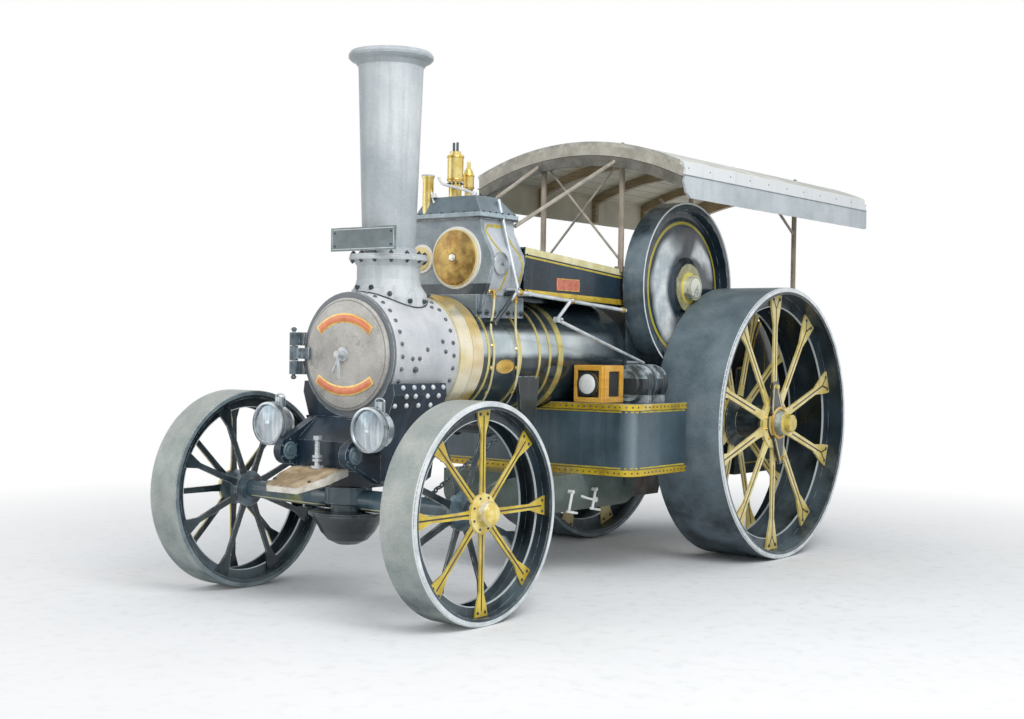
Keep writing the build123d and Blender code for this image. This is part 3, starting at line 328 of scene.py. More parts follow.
oil_pipe_r, pipe_over_barrel = 0.0085, 0.018
oil_pipe_table = (
    # where the pipe leaves its union, then (angle, y) down over the barrel
    ((0.352, 1.010, 1.985), ((27, 0.955), (10, 0.962), (-12, 0.956), (-40, 1.010), (-70, 1.098))),
    ((0.352, 1.245, 1.960), ((20, 1.212), (7, 1.226), (-12, 1.228), (-40, 1.300), (-74, 1.410))),
)
union_nut = [
    (0.017, 0), (0.017, 0.018), (0.012, 0.022), (0.012, 0.034), (0.016, 0.036), (0.016, 0.05), (0, 0.056),
]
clip = [(0.017, 0), (0.017, 0.003), (0.011, 0.009), (0, 0.011)]
for number, ((x, y, z), way) in enumerate(oil_pipe_table):
    route = [(x, y, z), (0.368, y - 0.02, 1.880)]
    route += [on_barrel(angle, behind, barrel_r + pipe_over_barrel) for angle, behind in way]
    bent_pipe(f"oil_pipe_{number}", route, oil_pipe_r, cream_enamel)
    seats = [((x, y, z - 0.022), (0, 0, 1)), ((x - 0.05, y, z + 0.022), (1, 0, 0))]
    turned(f"oil_union_{number}", seats, union_nut, 12, polished_brass)
    seats = []
    for angle, behind in way[1:4]:
        seats += round_barrel(behind, barrel_r, [angle])
    turned(f"oil_pipe_clips_{number}", seats, clip, 8, polished_brass)

oval_sides = 32
oval_y, oval_z, half_length, half_height = 1.100, 1.503, 0.098, 0.049
oval_profile = ((1.0, -0.004), (1.0, 0.004), (0.93, 0.008), (0.86, 0.008), (0.82, 0.005), (0, 0.006))
oval_points, oval_faces = [], []
for ring, (size, rise) in enumerate(oval_profile):
    for k in range(oval_sides):
        turn = 2 * pi * k / oval_sides
        y = oval_y + half_length * size * cos(turn)
        up = oval_z + half_height * size * sin(turn) - boiler_z
        out = 1 + rise / barrel_r
        oval_points.append((out * sqrt(barrel_r**2 - up**2), y, boiler_z + out * up))
    if ring:
        low, high = oval_sides * (ring - 1), oval_sides * ring
        for k in range(oval_sides):
            m = (k + 1) % oval_sides
            oval_faces.append((low + k, low + m, high + m, high + k))
fit("oval_side_plate", oval_points, oval_faces, polished_brass)


# The boiler bands: strips of polished brass sheet drawn tight round the cladding, each closed under
# the barrel by a bolt through two lugs. The widest covers the joint behind the smokebox.
banding = Finish("band_brass", "e0bd48", "bd922b", 3.0)
pale_run = banding.ramp(banding.noise(1.5, 3, (1, 0.4, 1)), 0.44, 0.56)
banding.lay(banding.times(pale_run, banding.before(0.846)), "f6eed2")
# The upper part of the wide band's front half is paler: a painted highlight.
painted_highlight_front_top = banding.times(banding.before(0.7275), banding.ramp(banding.z, 1.40, 1.62))
banding.cloud(banding.times(painted_highlight_front_top, 0.8), "f4efdc", "e6d79c", 4.0)
banding.lay(banding.within(banding.y, station(0.7255), station(0.7295)), "5a4a22")
banding.lay(banding.behind(0.90), "dccf8a")
dress(banding.done(rough=0.26, metal=0.66, grain=0.25, bump=0.15), "boiler_bands")

clamp_table = (
    # y of the band's middle, its outer radius
    (0.664, 0.410), (0.787, 0.402), (0.916, 0.393), (1.262, 0.393), (1.482, 0.393), (1.604, 0.393),
    (1.730, 0.395),
)


def blocks(name, boxes, ease, finish):
    """Square-cut pieces between their (low, high) corners, with eased edges, as one piece."""
    points, faces = [], []
    for low, high in boxes:
        start = len(points)
        across, along, up = zip(low, high)
        points += [(x, y, z) for x in across for y in along for z in up]
        for side in ((0, 1, 3, 2), (4, 6, 7, 5), (0, 4, 5, 1), (2, 3, 7, 6), (0, 2, 6, 4), (1, 5, 7, 3)):
            faces.append(tuple(start + k for k in side))
    easing = fit(name, points, faces, finish).modifiers.new("eased_edges", "BEVEL")
    easing.width = ease
    easing.segments = 2
    easing.limit_method = "ANGLE"


lugs = []
for y, radius in clamp_table:
    top = boiler_z - radius + 0.004
    for x in (-0.022, 0.008):
        lugs.append(((x, y - 0.009, top - 0.03), (x + 0.014, y + 0.009, top)))
blocks("band_clamp_lugs", lugs, 0.002, polished_brass)
steel = Finish("bright_steel", "c9cfd2", "8e979c", 7.0)
bright_steel = steel.done(rough=0.3, metal=0.75, grain=0.25, bump=0.15)
bolt = [
    (0.008, 0), (0.008, 0.008), (0.004, 0.009), (0.004, 0.046), (0.008, 0.047), (0.008, 0.055), (0, 0.056),
]
seats = [((-0.03, y, boiler_z - radius - 0.014), (1, 0, 0)) for y, radius in clamp_table]
turned("band_clamp_bolts", seats, bolt, 6, bright_steel)


# The smokebox: rolled plate riveted to a ring in front, painted in a light heat-proof grey. Domed
# rivets run round both its ends, and more hold the parts that are fixed inside.
smokebox_r = 0.394
grey = Finish("smokebox_grey_paint", "e3e3e4", "bfc3c8", 2.6)
# The smokebox's lower side is darker: painted shade.
painted_shade_low_side = grey.ramp(grey.z, 1.60, 1.32)
grey.cloud(grey.times(painted_shade_low_side, 0.75), "aeb4b8", "8d969b", 5.0)
# The front ring's face is darkened round the door: painted shade between door and smokebox.
grey.lay(grey.times(grey.before(0.004), 0.85), "4f5a5f")
inside = grey.below(grey.from_axis(grey.x, grey.z, 0, boiler_z), 0.3835)
grey.cloud(grey.times(inside, grey.behind(0.001)), "2b2a29", "191a1a")
hinge_end = grey.below(grey.x, -0.3965)
grey.cloud(hinge_end, "6c7a82", "36434a", 14.0)
dress(grey.done(rough=0.5, coat=0.12, grain=0.35, bump=0.3, worn="f2f2f0"), "smokebox")
soot_black = Finish("soot_and_scale", "39383a", "1d1d1e", 12.0).done(rough=0.8, grain=0.5, bump=0.8)
dress(soot_black, "smokebox_inside")

rivet_paint = Finish("rivet_grey_paint", "70797f", "4a5359", 20.0).done(rough=0.45, coat=0.2)
rivet = [(1.0, -0.15), (1.0, 0.05), (0.93, 0.35), (0.72, 0.62), (0.4, 0.8), (0, 0.86)]


def rivets(name, seats, radius, finish, body="engine"):
    """Domed rivet heads, all of one size."""
    turned(name, seats, [(r * radius, h * radius) for r, h in rivet], 10, finish, body)


front_angles = [-24 + 11.4 * k for k in range(21)]
front_angles = [angle for angle in front_angles if abs(angle - 180) > 24]
back_angles = [angle for angle in range(-84, 264, 12) if abs(angle - 90) > 22]
shell_seats = round_barrel(0.058, smokebox_r, front_angles)
shell_seats += round_barrel(0.548, smokebox_r, back_angles)
inner_parts = (
    (0.447, 1.665), (0.467, 1.601), (0.293, 1.613), (0.151, 1.555), (0.217, 1.556), (0.494, 1.884),
)
for y, z in inner_parts:
    angle = degrees(asin((z - boiler_z) / smokebox_r))
    shell_seats += round_barrel(y, smokebox_r, (angle, 180 - angle))
rivets("smokebox_rivets", shell_seats, 0.0145, rivet_paint)
wash_rim = [(0.020, -0.002), (0.020, 0.006), (0.014, 0.010), (0.014, 0.018), (0.006, 0.022), (0, 0.022)]
turned("smokebox_cocks", round_barrel(0.185, smokebox_r, [-13]), wash_rim, 12, rivet_paint)


# The smokebox door: a dished plate on one hinge strap, painted warm grey, closed by two handles on a
# bright spindle. Two blank curved plates of red enamel with brass edges are screwed to it.
door = Finish("door_taupe_paint", "cdc9c1", "a8a49d", 4.2)
door.cloud(door.ramp(door.noise(7, 4), 0.56, 0.66), "8f8c86", "b0aca4", 22.0)
rim_mark = door.within(door.from_axis(door.x, door.z, 0, boiler_z), 0.337, 0.343)
door.lay(door.times(rim_mark, 0.7), "4f5456")
dress(door.done(rough=0.55, coat=0.1, grain=0.5, bump=0.35, worn="e8e4da"), "smokebox_door")
ironwork = Finish("door_ironwork", "dfe2e2", "aeb6ba", 12.0)
ironwork.cloud(ironwork.below(ironwork.x, -0.28), "76848b", "3f4c53", 16.0)
dress(ironwork.done(rough=0.36, metal=0.35, coat=0.2, worn="eef0f0"), "door_fittings")


def strips(name, runs, width, rise, finish, body="engine", sink=0.0015):
    """Flat strips that follow runs of (place, facing); a run that ends where it began is closed."""
    half, flat, shoulder = 0.5 * width, 0.42 * width, 0.6 * rise
    section = (
        (-half, -sink), (-half, shoulder), (-flat, rise), (flat, rise), (half, shoulder), (half, -sink),
    )
    points, faces = [], []
    for run in runs:
        closed = (Vector(run[0][0]) - Vector(run[-1][0])).length < 1e-6
        stops = run[:-1] if closed else run
        start = len(points)
        count = len(stops)
        for k, (place, facing) in enumerate(stops):
            before = stops[k - 1][0] if k or closed else place
            after = stops[(k + 1) % count][0] if k < count - 1 or closed else place
            along = (Vector(after) - Vector(before)).normalized()
            out = Vector(facing).normalized()
            side = along.cross(out).normalized()
            points += [Vector(place) + side * across + out * up for across, up in section]
        for k in range(count if closed else count - 1):
            low, high = start + 6 * k, start + 6 * ((k + 1) % count)
            faces += [(low + m, low + (m + 1) % 6, high + (m + 1) % 6, high + m) for m in range(6)]
        if not closed:
            last = start + 6 * (count - 1)
            faces += [tuple(range(start, start + 6)), tuple(range(last, last + 6))]
    fit(name, points, faces, finish, body)


def door_face(x, z):
    """The place on the dished door in front of (x, z)."""
    reach = hypot(x, z - boiler_z)
    depth = 0.059 - max(reach - 0.15, 0) * 0.0588
    return (x, -depth, z)


door_red = Finish("red_enamel", "ef9059", "de713f", 18.0).done(rough=0.35, coat=0.4)
plate_edge = Finish("plate_edge_brass", "e9cf7d", "c9a24a", 20.0).done(rough=0.3, metal=0.5)
arc_table = (
    # name, height of the arc's centre, its radius, angle of its middle, half its sweep
    ("upper", 1.452, 0.352, 90, 40),
    ("lower", 1.762, 0.418, 270, 35),
)
layer_table = (
    # name, width, thickness, how much shorter at each end in degrees, finish
    ("edge", 0.060, 0.0035, 0, plate_edge),
    ("plate", 0.044, 0.005, 1.6, door_red),
)
for name, centre_z, radius, middle, sweep in arc_table:
    for part, width, rise, cut, finish in layer_table:
        run = []
        for k in range(25):
            turn = radians(middle + (sweep - cut) * (k / 12 - 1))
            run.append((door_face(radius * cos(turn), centre_z + radius * sin(turn)), (0, -1, 0)))
        strips(f"door_{name}_{part}", [run], width, rise, finish, "smokebox_door")
hinge_cap = [(0.016, -0.002), (0.019, 0.004), (0.019, 0.012), (0.010, 0.020), (0, 0.021)]
seats = [((-0.446, -0.062, boiler_z + s * 0.148), (0, 0, s)) for s in (-1, 1)]
turned("door_hinge_caps", seats, hinge_cap, 12, rivet_paint)
seats = [((x, -0.0705, boiler_z + z), (0, -1, 0)) for x in (-0.385, -0.345) for z in (-0.02, 0.02)]
rivets("door_strap_rivets", seats, 0.008, rivet_paint, "smokebox_door")


# The chimney: a cast saddle bolted to the smokebox, and a long taper barrel of rolled plate that
# stands on its flange under a rolled cap. Both are painted the smokebox's light grey.
chimney_y = 0.346
stack = Finish("chimney_grey_paint", "d2d6d8", "a9b1b5", 1.7)
shade_side = stack.ramp(stack.x, 0.10, -0.21)
stack.cloud(stack.times(shade_side, 0.85), "a3abae", "8a9498", 7.0)
drips = stack.ramp(stack.noise(1.0, 5, (16, 16, 0.9)), 0.50, 0.68, 0.0, 0.45)
stack.lay(drips, "9aa2a5")
cap_edge = stack.within(stack.z, 3.432, 3.500)
stack.lay(stack.times(cap_edge, 0.35), "6f7c80")
bore = stack.below(stack.from_axis(stack.x, stack.y, 0, station(chimney_y)), 0.2005)
stack.cloud(stack.times(bore, stack.over(3.3)), "2a2a2a", "171717")
dress(stack.done(rough=0.5, coat=0.15, grain=0.4, bump=0.3, worn="f3f3f1"), "chimney", "chimney_saddle")
hex_nut = [(1.0, -0.1), (1.0, 0.75), (0.86, 0.9), (0.5, 0.92), (0.5, 1.35), (0.36, 1.5), (0, 1.5)]


def nuts(name, seats, radius, finish, body="engine"):
    """Hexagon nuts with their stud ends, all of one size."""
    turned(name, seats, [(r * radius, h * radius) for r, h in hex_nut], 6, finish, body)


iron = Finish("blackened_iron", "4a555b", "2c363c", 14.0)
black_iron = iron.done(rough=0.45, metal=0.3, coat=0.2, grain=0.35)


def ring_seats(centre, radius, count, facing, start=0.0, tilt=0.0):
    """Seats round an upright axis; with a tilt they lean that far outwards."""
    seats = []
    for k in range(count):
        turn = radians(start + 360 * k / count)
        out = Vector((cos(turn), sin(turn), 0))
        seats.append((Vector(centre) + out * radius, Vector(facing) + out * tilt))
    return seats


flange_nuts = ring_seats((0, chimney_y, 2.2195), 0.236, 14, (0, 0, 1), 8)
flange_nuts += ring_seats((0, chimney_y, 2.1870), 0.238, 14, (0, 0, -1), 8)
nuts("chimney_flange_nuts", flange_nuts, 0.015, black_iron)
foot_profile = ((1.776, 0.261), (1.944, 0.255), (1.970, 0.249), (2.020, 0.215), (2.060, 0.205))


def foot_radius(z):
    """The radius of the saddle's flared foot at this height."""
    for (low, wide), (high, narrow) in zip(foot_profile, foot_profile[1:]):
        if z <= high:
            return wide + (narrow - wide) * (z - low) / (high - low)
    return foot_profile[-1][1]


base_nuts, foot_joint = [], []
for k in range(49):
    turn = radians(7.5 * k)
    out = Vector((cos(turn), sin(turn), 0))
    joint_z = boiler_z + sqrt(smokebox_r**2 - (0.255 * out.x) ** 2)
    foot_joint.append((Vector((0, chimney_y, joint_z + 0.004)) + out * foot_radius(joint_z), out))
    if k % 4 == 2:
        seat_z = joint_z + 0.036
        seat = Vector((0, chimney_y, seat_z)) + out * foot_radius(seat_z)
        flare = (foot_radius(seat_z - 0.01) - foot_radius(seat_z + 0.01)) / 0.02
        base_nuts.append((seat, out + Vector((0, 0, flare))))
nuts("chimney_base_nuts", base_nuts, 0.017, black_iron)
strips("chimney_foot_joint", [foot_joint], 0.009, 0.0035, black_iron, sink=0.006)


# The number board: a blank plate of slate-coloured enamel, held by two arms clamped round the
# chimney, with a narrow pale line round it and a screw at each corner.
board_front, board_z = 0.098, 2.312
board = Finish("plate_slate_enamel", "6c7b7e", "4b595d", 6.0)
dress(board.done(rough=0.42, coat=0.3, grain=0.4, worn="c9cfcd"), "number_board")


def frame_run(low, high, seat, ends=True):
    """A closed run round a rectangle, by the middles of its long sides and, if told, of its ends."""
    (a, b), (c, d) = low, high
    middle, half = (a + c) / 2, (b + d) / 2
    way = [(a, b), (middle, b), (c, b), (c, half), (c, d), (middle, d), (a, d), (a, half), (a, b)]
    if not ends:
        way = way[:3] + way[4:7] + way[8:]
    return [seat(*corner) for corner in way]


def on_board(x, z):
    return ((x, board_front, board_z + z), (0, -1, 0))


frame_line = frame_run((-0.268, -0.063), (0.268, 0.063), on_board)
pale_line = Finish("pale_lining", "d6dcda", "b9c2c1", 20.0).done(rough=0.4)
strips("number_board_line", [frame_line], 0.006, 0.001, pale_line)
corners = [on_board(x, z) for x in (-0.245, 0.245) for z in (-0.042, 0.042)]
rivets("number_board_screws", corners, 0.008, black_iron)


# The cylinder block: one iron casting for both cylinders, on a saddle bolted round the boiler. Its
# front flange is slate grey, and the cladding of its sides is pale and lined out in yellow. A round
# steel cover closes each side, and nuts hold the saddle down.
cylinder_x, small_x, cylinder_z = 0.088, -0.222, 2.235
cylinder = Finish("cylinder_slate_paint", "c9ced4", "a5adb5", 4.0)
flange = cylinder.before(0.966)
cylinder.cloud(flange, "95a0a5", "727f86", 5.0)
# The flange below the cover is darkened: a painted shadow.
cylinder.cloud(cylinder.times(flange, cylinder.under(2.06)), "364650", "1e2930", 7.0)
cylinder.cloud(cylinder.under(1.987), "8c989f", "66737b", 6.0)
seat_front = cylinder.before(0.9305)
for x, radius in ((cylinder_x, 0.2115), (small_x, 0.0995)):
    seat_ring = cylinder.below(cylinder.from_axis(cylinder.x, cylinder.z, x, cylinder_z), radius)
    cylinder.lay(cylinder.times(seat_front, seat_ring), "eceae3")
dress(cylinder.done(rough=0.42, coat=0.35, grain=0.4, worn="eef1f2"), "cylinder_block")

cover = Finish("cylinder_cover_bronze", "cfae62", "8c6b33", 13.0)
cover.cloud(cover.ramp(cover.noise(7, 4), 0.55, 0.62), "b5873f", "775428", 20.0)
cover_reach = cover.from_axis(cover.x, cover.z, cylinder_x, cylinder_z)
cover.lay(cover.above(cover_reach, 0.186), "e2cf93")
cover.lay(cover.below(cover_reach, 0.0235), "f1efe8")
cover.lay(cover.within(cover_reach, 0.0235, 0.029), "5f4a28")
dress(cover.done(rough=0.36, metal=0.45, grain=0.4, bump=0.4), "cylinder_cover")


def mirror(seats):
    """The same seats on the engine's right-hand side."""
    return [((-x, y, z), (-a, b, c)) for (x, y, z), (a, b, c) in seats]


def pair(*seats):
    """Seats given for the left-hand side, with those on the right."""
    return mirror(seats) + list(seats)


def row(first, last, count, facing=(1, 0, 0)):
    """Seats at even steps from the first place to the last, all facing one way."""
    share = [k / (count - 1) for k in range(count)]
    return [(tuple(a + (b - a) * s for a, b in zip(first, last)), facing) for s in share]


block_side = (
    # (half width, height) of the cladding, from the top down
    (0.268, 2.470), (0.274, 2.4215), (0.320, 2.3364), (0.362, 2.2619), (0.370, 2.2087), (0.360, 2.1449),
    (0.326, 2.0385), (0.306, 1.995),
)


def side_line(behinds):
    """A run down the left-hand cladding through these stations, facing outwards."""
    run = []
    points = block_side[1:]
    for k, ((width, z), behind) in enumerate(zip(points, behinds)):
        upper, lower = points[max(k - 1, 0)], points[min(k + 1, len(points) - 1)]
        slope = (lower[0] - upper[0]) / (upper[1] - lower[1])
        run.append(((width, behind, z), (1, 0, slope)))
    return run


yellow_lining = Finish("yellow_lining", "cdbb45", "a9972f", 18.0).done(rough=0.35, coat=0.3)
front_line = side_line((1.000, 1.035, 1.085, 1.125, 1.140, 1.115, 1.070))
rear_line = side_line((1.225, 1.235, 1.270, 1.292, 1.296, 1.280, 1.262))
top_run = [((0.2719, y, 2.456), (1, 0, 0.08)) for y in (1.03, 1.12, 1.20)]
run = front_line[::-1] + top_run + rear_line
strips("cylinder_side_lining", [mirror(run), run], 0.021, 0.0012, yellow_lining)
side_cover = [
    (0.078, -0.012), (0.078, 0.008), (0.070, 0.014), (0.030, 0.020), (0.012, 0.022), (0.012, 0.034),
    (0, 0.036),
]
side_seats = pair(((0.366, 1.058, 2.196), (1, 0, 0)))
turned("cylinder_side_covers", side_seats, side_cover, 32, bright_steel)
saddle_nuts = pair(*row((0.286, 0.925, 1.868), (0.286, 1.390, 1.868), 7))
nuts("cylinder_saddle_nuts", saddle_nuts, 0.019, black_iron)


# The steam-chest hood: a folded sheet cover, painted slate blue, whose base flange has a pale top
# edge over a dark joint. Small nuts hold its rim, and a white drain pipe curves over its top.
hood_top, hood_foot = 2.658, 2.540
hood = Finish("hood_slate_paint", "6d7f88", "4c5c65", 4.5)
lip = hood.within(hood.z, 2.490, 2.5405)
hood.cloud(lip, "2a363d", "182126")
hood.cloud(hood.times(lip, hood.over(2.513)), "a9b8bf", "84959d", 9.0)
dress(hood.done(rough=0.36, coat=0.4, grain=0.35, worn="dfe6e8"), "cylinder_hood")
upwards = (0, 0, 1)
edge_nuts = pair(*row((0.202, 0.985, hood_top), (0.202, 1.185, hood_top), 5, upwards))
edge_nuts += [((x, 1.192, hood_top), upwards) for x in (-0.15, -0.10, -0.05, 0.05, 0.10, 0.15)]
nuts("hood_nuts", edge_nuts, 0.0105, black_iron)
flange_bolts = pair(*row((0.296, 0.955, hood_foot), (0.296, 1.295, hood_foot), 6, upwards))
flange_bolts += row((-0.25, 0.924, hood_foot), (0.25, 0.924, hood_foot), 6, upwards)
nuts("hood_flange_nuts", flange_bolts, 0.008, black_iron)
white_paint = Finish("white_pipe_paint", "e9ebe8", "c8cdcb", 12.0).done(rough=0.4, coat=0.3)
drain_end = (0.190, 0.985)
drain_route = [
    (-0.104, 0.952, 2.792), (-0.080, 0.950, 2.752), (-0.030, 0.949, 2.736),
    (0.070, 0.950, 2.712), (0.150, 0.962, 2.690), (*drain_end, 2.662),
]
bent_pipe("hood_drain_pipe", drain_route, 0.0105, white_paint)
drain_foot = [(0.024, -0.002), (0.024, 0.005), (0.016, 0.010), (0.014, 0.026), (0, 0.027)]
feet = [((*place, hood_top), upwards) for place in (drain_end, (-0.142, 0.951))]
turned("hood_pipe_feet", feet, drain_foot, 16, white_paint)


# The brass mountings: twin safety valves, the whistle and the sight-feed lubricator, turned and
# polished, with dark studs round the valves' base and blackened spindles on top.
mounting = Finish("mounting_brass", "efdf9c", "cfae4e", 8.0)
mounting.lay(mounting.over(2.967), "5b6366")
mounting.lay(mounting.within(mounting.x, -0.172, -0.10), "e4e5df")
dress(mounting.done(rough=0.25, metal=0.45, grain=0.2, bump=0.15), "safety_valves", "whistle", "lubricator")
valve_studs = ring_seats((0, 1.005, 2.748), 0.044, 10, (0, 0, 0), 9, 1.0)
nuts("safety_valve_studs", valve_studs, 0.0085, black_iron)
collar = [(0.054, -0.006), (0.059, -0.006), (0.061, 0), (0.059, 0.006), (0.054, 0.006)]
seats = [((0, 1.005, z), upwards) for z in (2.776, 2.930)]
turned("safety_valve_collars", seats, collar, 32, polished_brass)
whistle_ring = [(0.037, -0.004), (0.0415, -0.003), (0.0415, 0.003), (0.037, 0.004)]
seats = [((0, 1.147, z), upwards) for z in (2.735, 2.815)]
turned("whistle_rings", seats, whistle_ring, 28, polished_brass)
cup = [(0.036, 0), (0.046, 0.002), (0.048, 0.008), (0.044, 0.014), (0.034, 0.015)]
turned("lubricator_cup_rim", [((-0.216, 0.970, 2.806), upwards)], cup, 28, white_paint)


# The motion case: a dark blue sheet trunk round the rods and slides. Its top edge has a broad cream
# strip with a yellow line below it, its bottom edge a brass strip, and its side a blank red plate.
motion = Finish("motion_navy_paint", "263a48", "16232d", 2.4)
dress(motion.done(rough=0.3, coat=0.2, grain=0.25, worn="9fb0b5", gloss=0.3), "motion_case")
case_face, plate_face = 0.372, 0.377
cream_strip = Finish("cream_strip", "e6e0b8", "cfc587", 10.0).done(rough=0.4, coat=0.3)
gold = Finish("gold_band", "dcc03c", "b7972a", 9.0).done(rough=0.32, metal=0.3, coat=0.3)
case_top, case_foot = (2.326, 2.230), (1.994, 1.963)
for name, (front_z, back_z), drop, width, rise, finish in (
    ("top_strips", case_top, -0.024, 0.046, 0.003, cream_strip),
    ("yellow_lines", case_top, -0.064, 0.013, 0.0012, yellow_lining),
    ("bottom_strips", case_foot, 0.021, 0.040, 0.003, gold),
):
    run = [((case_face, 1.322, front_z + drop), (1, 0, 0)), ((case_face, 2.556, back_z + drop), (1, 0, 0))]
    strips(f"motion_{name}", [mirror(run), run], width, rise, finish)
name_red = Finish("small_plate_red", "cf7a5d", "b4543c", 26.0).done(rough=0.35, coat=0.4)
rim = frame_run((1.695, 2.045), (1.965, 2.125), lambda y, z: ((plate_face, y, z), (1, 0, 0)))
for name, low, high, run in (("right", -plate_face, -0.370, mirror(rim)), ("left", 0.370, plate_face, rim)):
    plate = ((low, 1.690, 2.040), (high, 1.970, 2.130))
    blocks(f"motion_plate_{name}", [plate], 0.003, name_red)
    strips(f"motion_plate_rim_{name}", [run], 0.006, 0.0016, plate_edge)
case_rivets = pair(*row((case_face, 1.345, 2.030), (case_face, 1.345, 2.280), 9))
rivets("motion_case_rivets", case_rivets, 0.006, black_iron)


# The control rods beside the boiler and the bar that braces the cylinder block: round steel, painted
# pale, with turned collars at their joints. The strap below the bar is black.
rods = Finish("rod_pale_paint", "dde3e6", "b3bec4", 8.0)
strap = rods.times(rods.below(rods.x, 0.4285), rods.under(2.018), rods.before(1.20))
rods.lay(strap, "2a343a")
dress(rods.done(rough=0.34, metal=0.25, coat=0.3, worn="f4f4f2"), "control_rods")
rod_collar = [(0.0125, -0.016), (0.020, -0.014), (0.021, 0), (0.020, 0.014), (0.0125, 0.016)]
rod_front, rod_run = Vector((0.520, 1.038, 2.006)), Vector((0, 1.325, -0.088))
collar_seats = [(rod_front + rod_run * share, rod_run.normalized()) for share in (0.03, 0.48, 0.97)]
turned("control_rod_collars", collar_seats, rod_collar, 16, polished_brass)
joints = ((0.586, 1.465, 1.830), (0.5605, 1.628, 1.967), (0.4375, 1.176, 2.026))
rivets("control_rod_joint_caps", [(place, (1, 0, 0)) for place in joints], 0.014, bright_steel)


# The firebox, its ash pan and the backhead: plate in black heat-proof paint with rows of stay heads,
# and on the backhead a gauge glass, a pressure gauge, the regulator and the fire door's latch.
fire_black = Finish("firebox_black_paint", "323c42", "1a2125", 3.4)
ashes = fire_black.times(fire_black.under(0.78), fire_black.ramp(fire_black.noise(5), 0.4, 0.6))
fire_black.cloud(ashes, "5d5148", "3b3531", 12.0)
dress(fire_black.done(rough=0.5, coat=0.15, grain=0.45, bump=0.5, worn="7f8a8f"), "firebox")
back = 3.300
backwards = (0, 1, 0)
stay_heads = []
for z in (0.95, 1.07, 1.62, 1.74):
    stay_heads += row((-0.33, back, z), (0.33, back, z), 7, backwards)
stay_heads += [((x, back, z), backwards) for z in (1.19, 1.34, 1.49) for x in (-0.34, -0.25, 0.25, 0.34)]
rivets("backhead_stays", stay_heads, 0.011, fire_black.material)
door_boss = [(0.062, -0.003), (0.062, 0.006), (0.050, 0.014), (0.020, 0.017), (0.016, 0.03), (0, 0.032)]
turned("fire_door_boss", [((0, back + 0.014, 1.340), backwards)], door_boss, 28, black_iron)
straps = [((-0.215, back + 0.012, low), (0.02, back + 0.022, low + 0.025)) for low in (1.3, 1.355)]
blocks("fire_door_straps", straps, 0.003, black_iron)
gauge = [(0.070, 0), (0.070, 0.030), (0.064, 0.036), (0.060, 0.036), (0.058, 0.030), (0, 0.030)]
turned("pressure_gauge", [((0.15, back, 1.855), (0, 1, 0.1))], gauge, 40, polished_brass)
dial = Finish("gauge_dial", "f1efe6", "e2dfd2", 30.0).done(rough=0.3, coat=0.6)
dial_disc = [(0.056, 0), (0.056, 0.003), (0, 0.0035)]
turned("pressure_gauge_dial", [((0.15, back + 0.028, 1.858), (0, 1, 0.1))], dial_disc, 40, dial)
glass_body = [(0.013, 0), (0.020, 0.006), (0.020, 0.03), (0.012, 0.036), (0.012, 0.05), (0, 0.052)]
cock_seats = [((-0.15, back, z), backwards) for z in (1.70, 1.92)]
turned("gauge_glass_cocks", cock_seats, glass_body, 16, polished_brass)
gland = [(0.045, -0.002), (0.045, 0.008), (0.026, 0.012), (0.024, 0.034), (0, 0.034)]
turned("regulator_gland", [((0, back, 1.905), backwards)], gland, 8, polished_brass)
glass_tube = bpy.data.materials.new("gauge_glass_tube")
glass_tube.use_nodes = True
glass_inputs = glass_tube.node_tree.nodes["Principled BSDF"].inputs
glass_inputs["Base Color"].default_value = tint("dfe9e8")
glass_inputs["Transmission Weight"].default_value = 0.9
glass_inputs["Roughness"].default_value = 0.05
for name, radius, finish, slot, way in (
    # each way: (across, out from the backhead, height)
    ("fire_door_latch", 0.007, bright_steel, "steel", (
        (0.02, 0.035, 1.34), (0.10, 0.05, 1.345), (0.17, 0.055, 1.37), (0.21, 0.055, 1.40))),
    ("pressure_gauge_hand", 0.0016, black_iron, "steel", (
        (0.15, 0.0335, 1.862), (0.135, 0.0335, 1.875), (0.118, 0.0325, 1.890))),
    ("gauge_glass_tube", 0.008, glass_tube, "brass", (
        (-0.15, 0.038, 1.700), (-0.15, 0.038, 1.810), (-0.15, 0.038, 1.920))),
    ("regulator_handle", 0.010, bright_steel, "steel", (
        (0, -0.002, 1.905), (0, 0.05, 1.905), (0.03, 0.07, 1.915), (0.16, 0.075, 1.960),
        (0.24, 0.075, 1.975))),
):
    bent_pipe(name, [(x, back + out, z) for x, out, z in way], radius, finish)


# The hornplates and the gear guard: side plates that carry the crankshaft and the rear axle, and the
# sheet cover over the gearing, painted dark blue, with riveted edges and bearing caps.
crank_axis, rear_axle = (3.149, 2.115), (3.700, 1.067)
horn = Finish("hornplate_navy_paint", "2f3e47", "1a262c", 2.6)
horn_paint = horn.done(rough=0.36, coat=0.2, grain=0.35, worn="93a2a8", gloss=0.3)
dress(horn_paint, "hornplates", "gear_guard")
horn_face, guard_face = 0.404, 0.580
plate_rivets = row((horn_face, 3.962, 0.700), (horn_face, 3.962, 1.375), 10)
plate_rivets += row((horn_face, 2.665, 0.820), (horn_face, 2.665, 1.195), 6)
rivets("hornplate_rivets", pair(*plate_rivets), 0.011, horn_paint)


def on_face(face, axle, reach, angle, facing=1):
    """A seat on an upright face, at this reach and angle from an axle that runs across the engine."""
    turn = radians(angle)
    return ((face, axle[0] + reach * cos(turn), axle[1] + reach * sin(turn)), (facing, 0, 0))


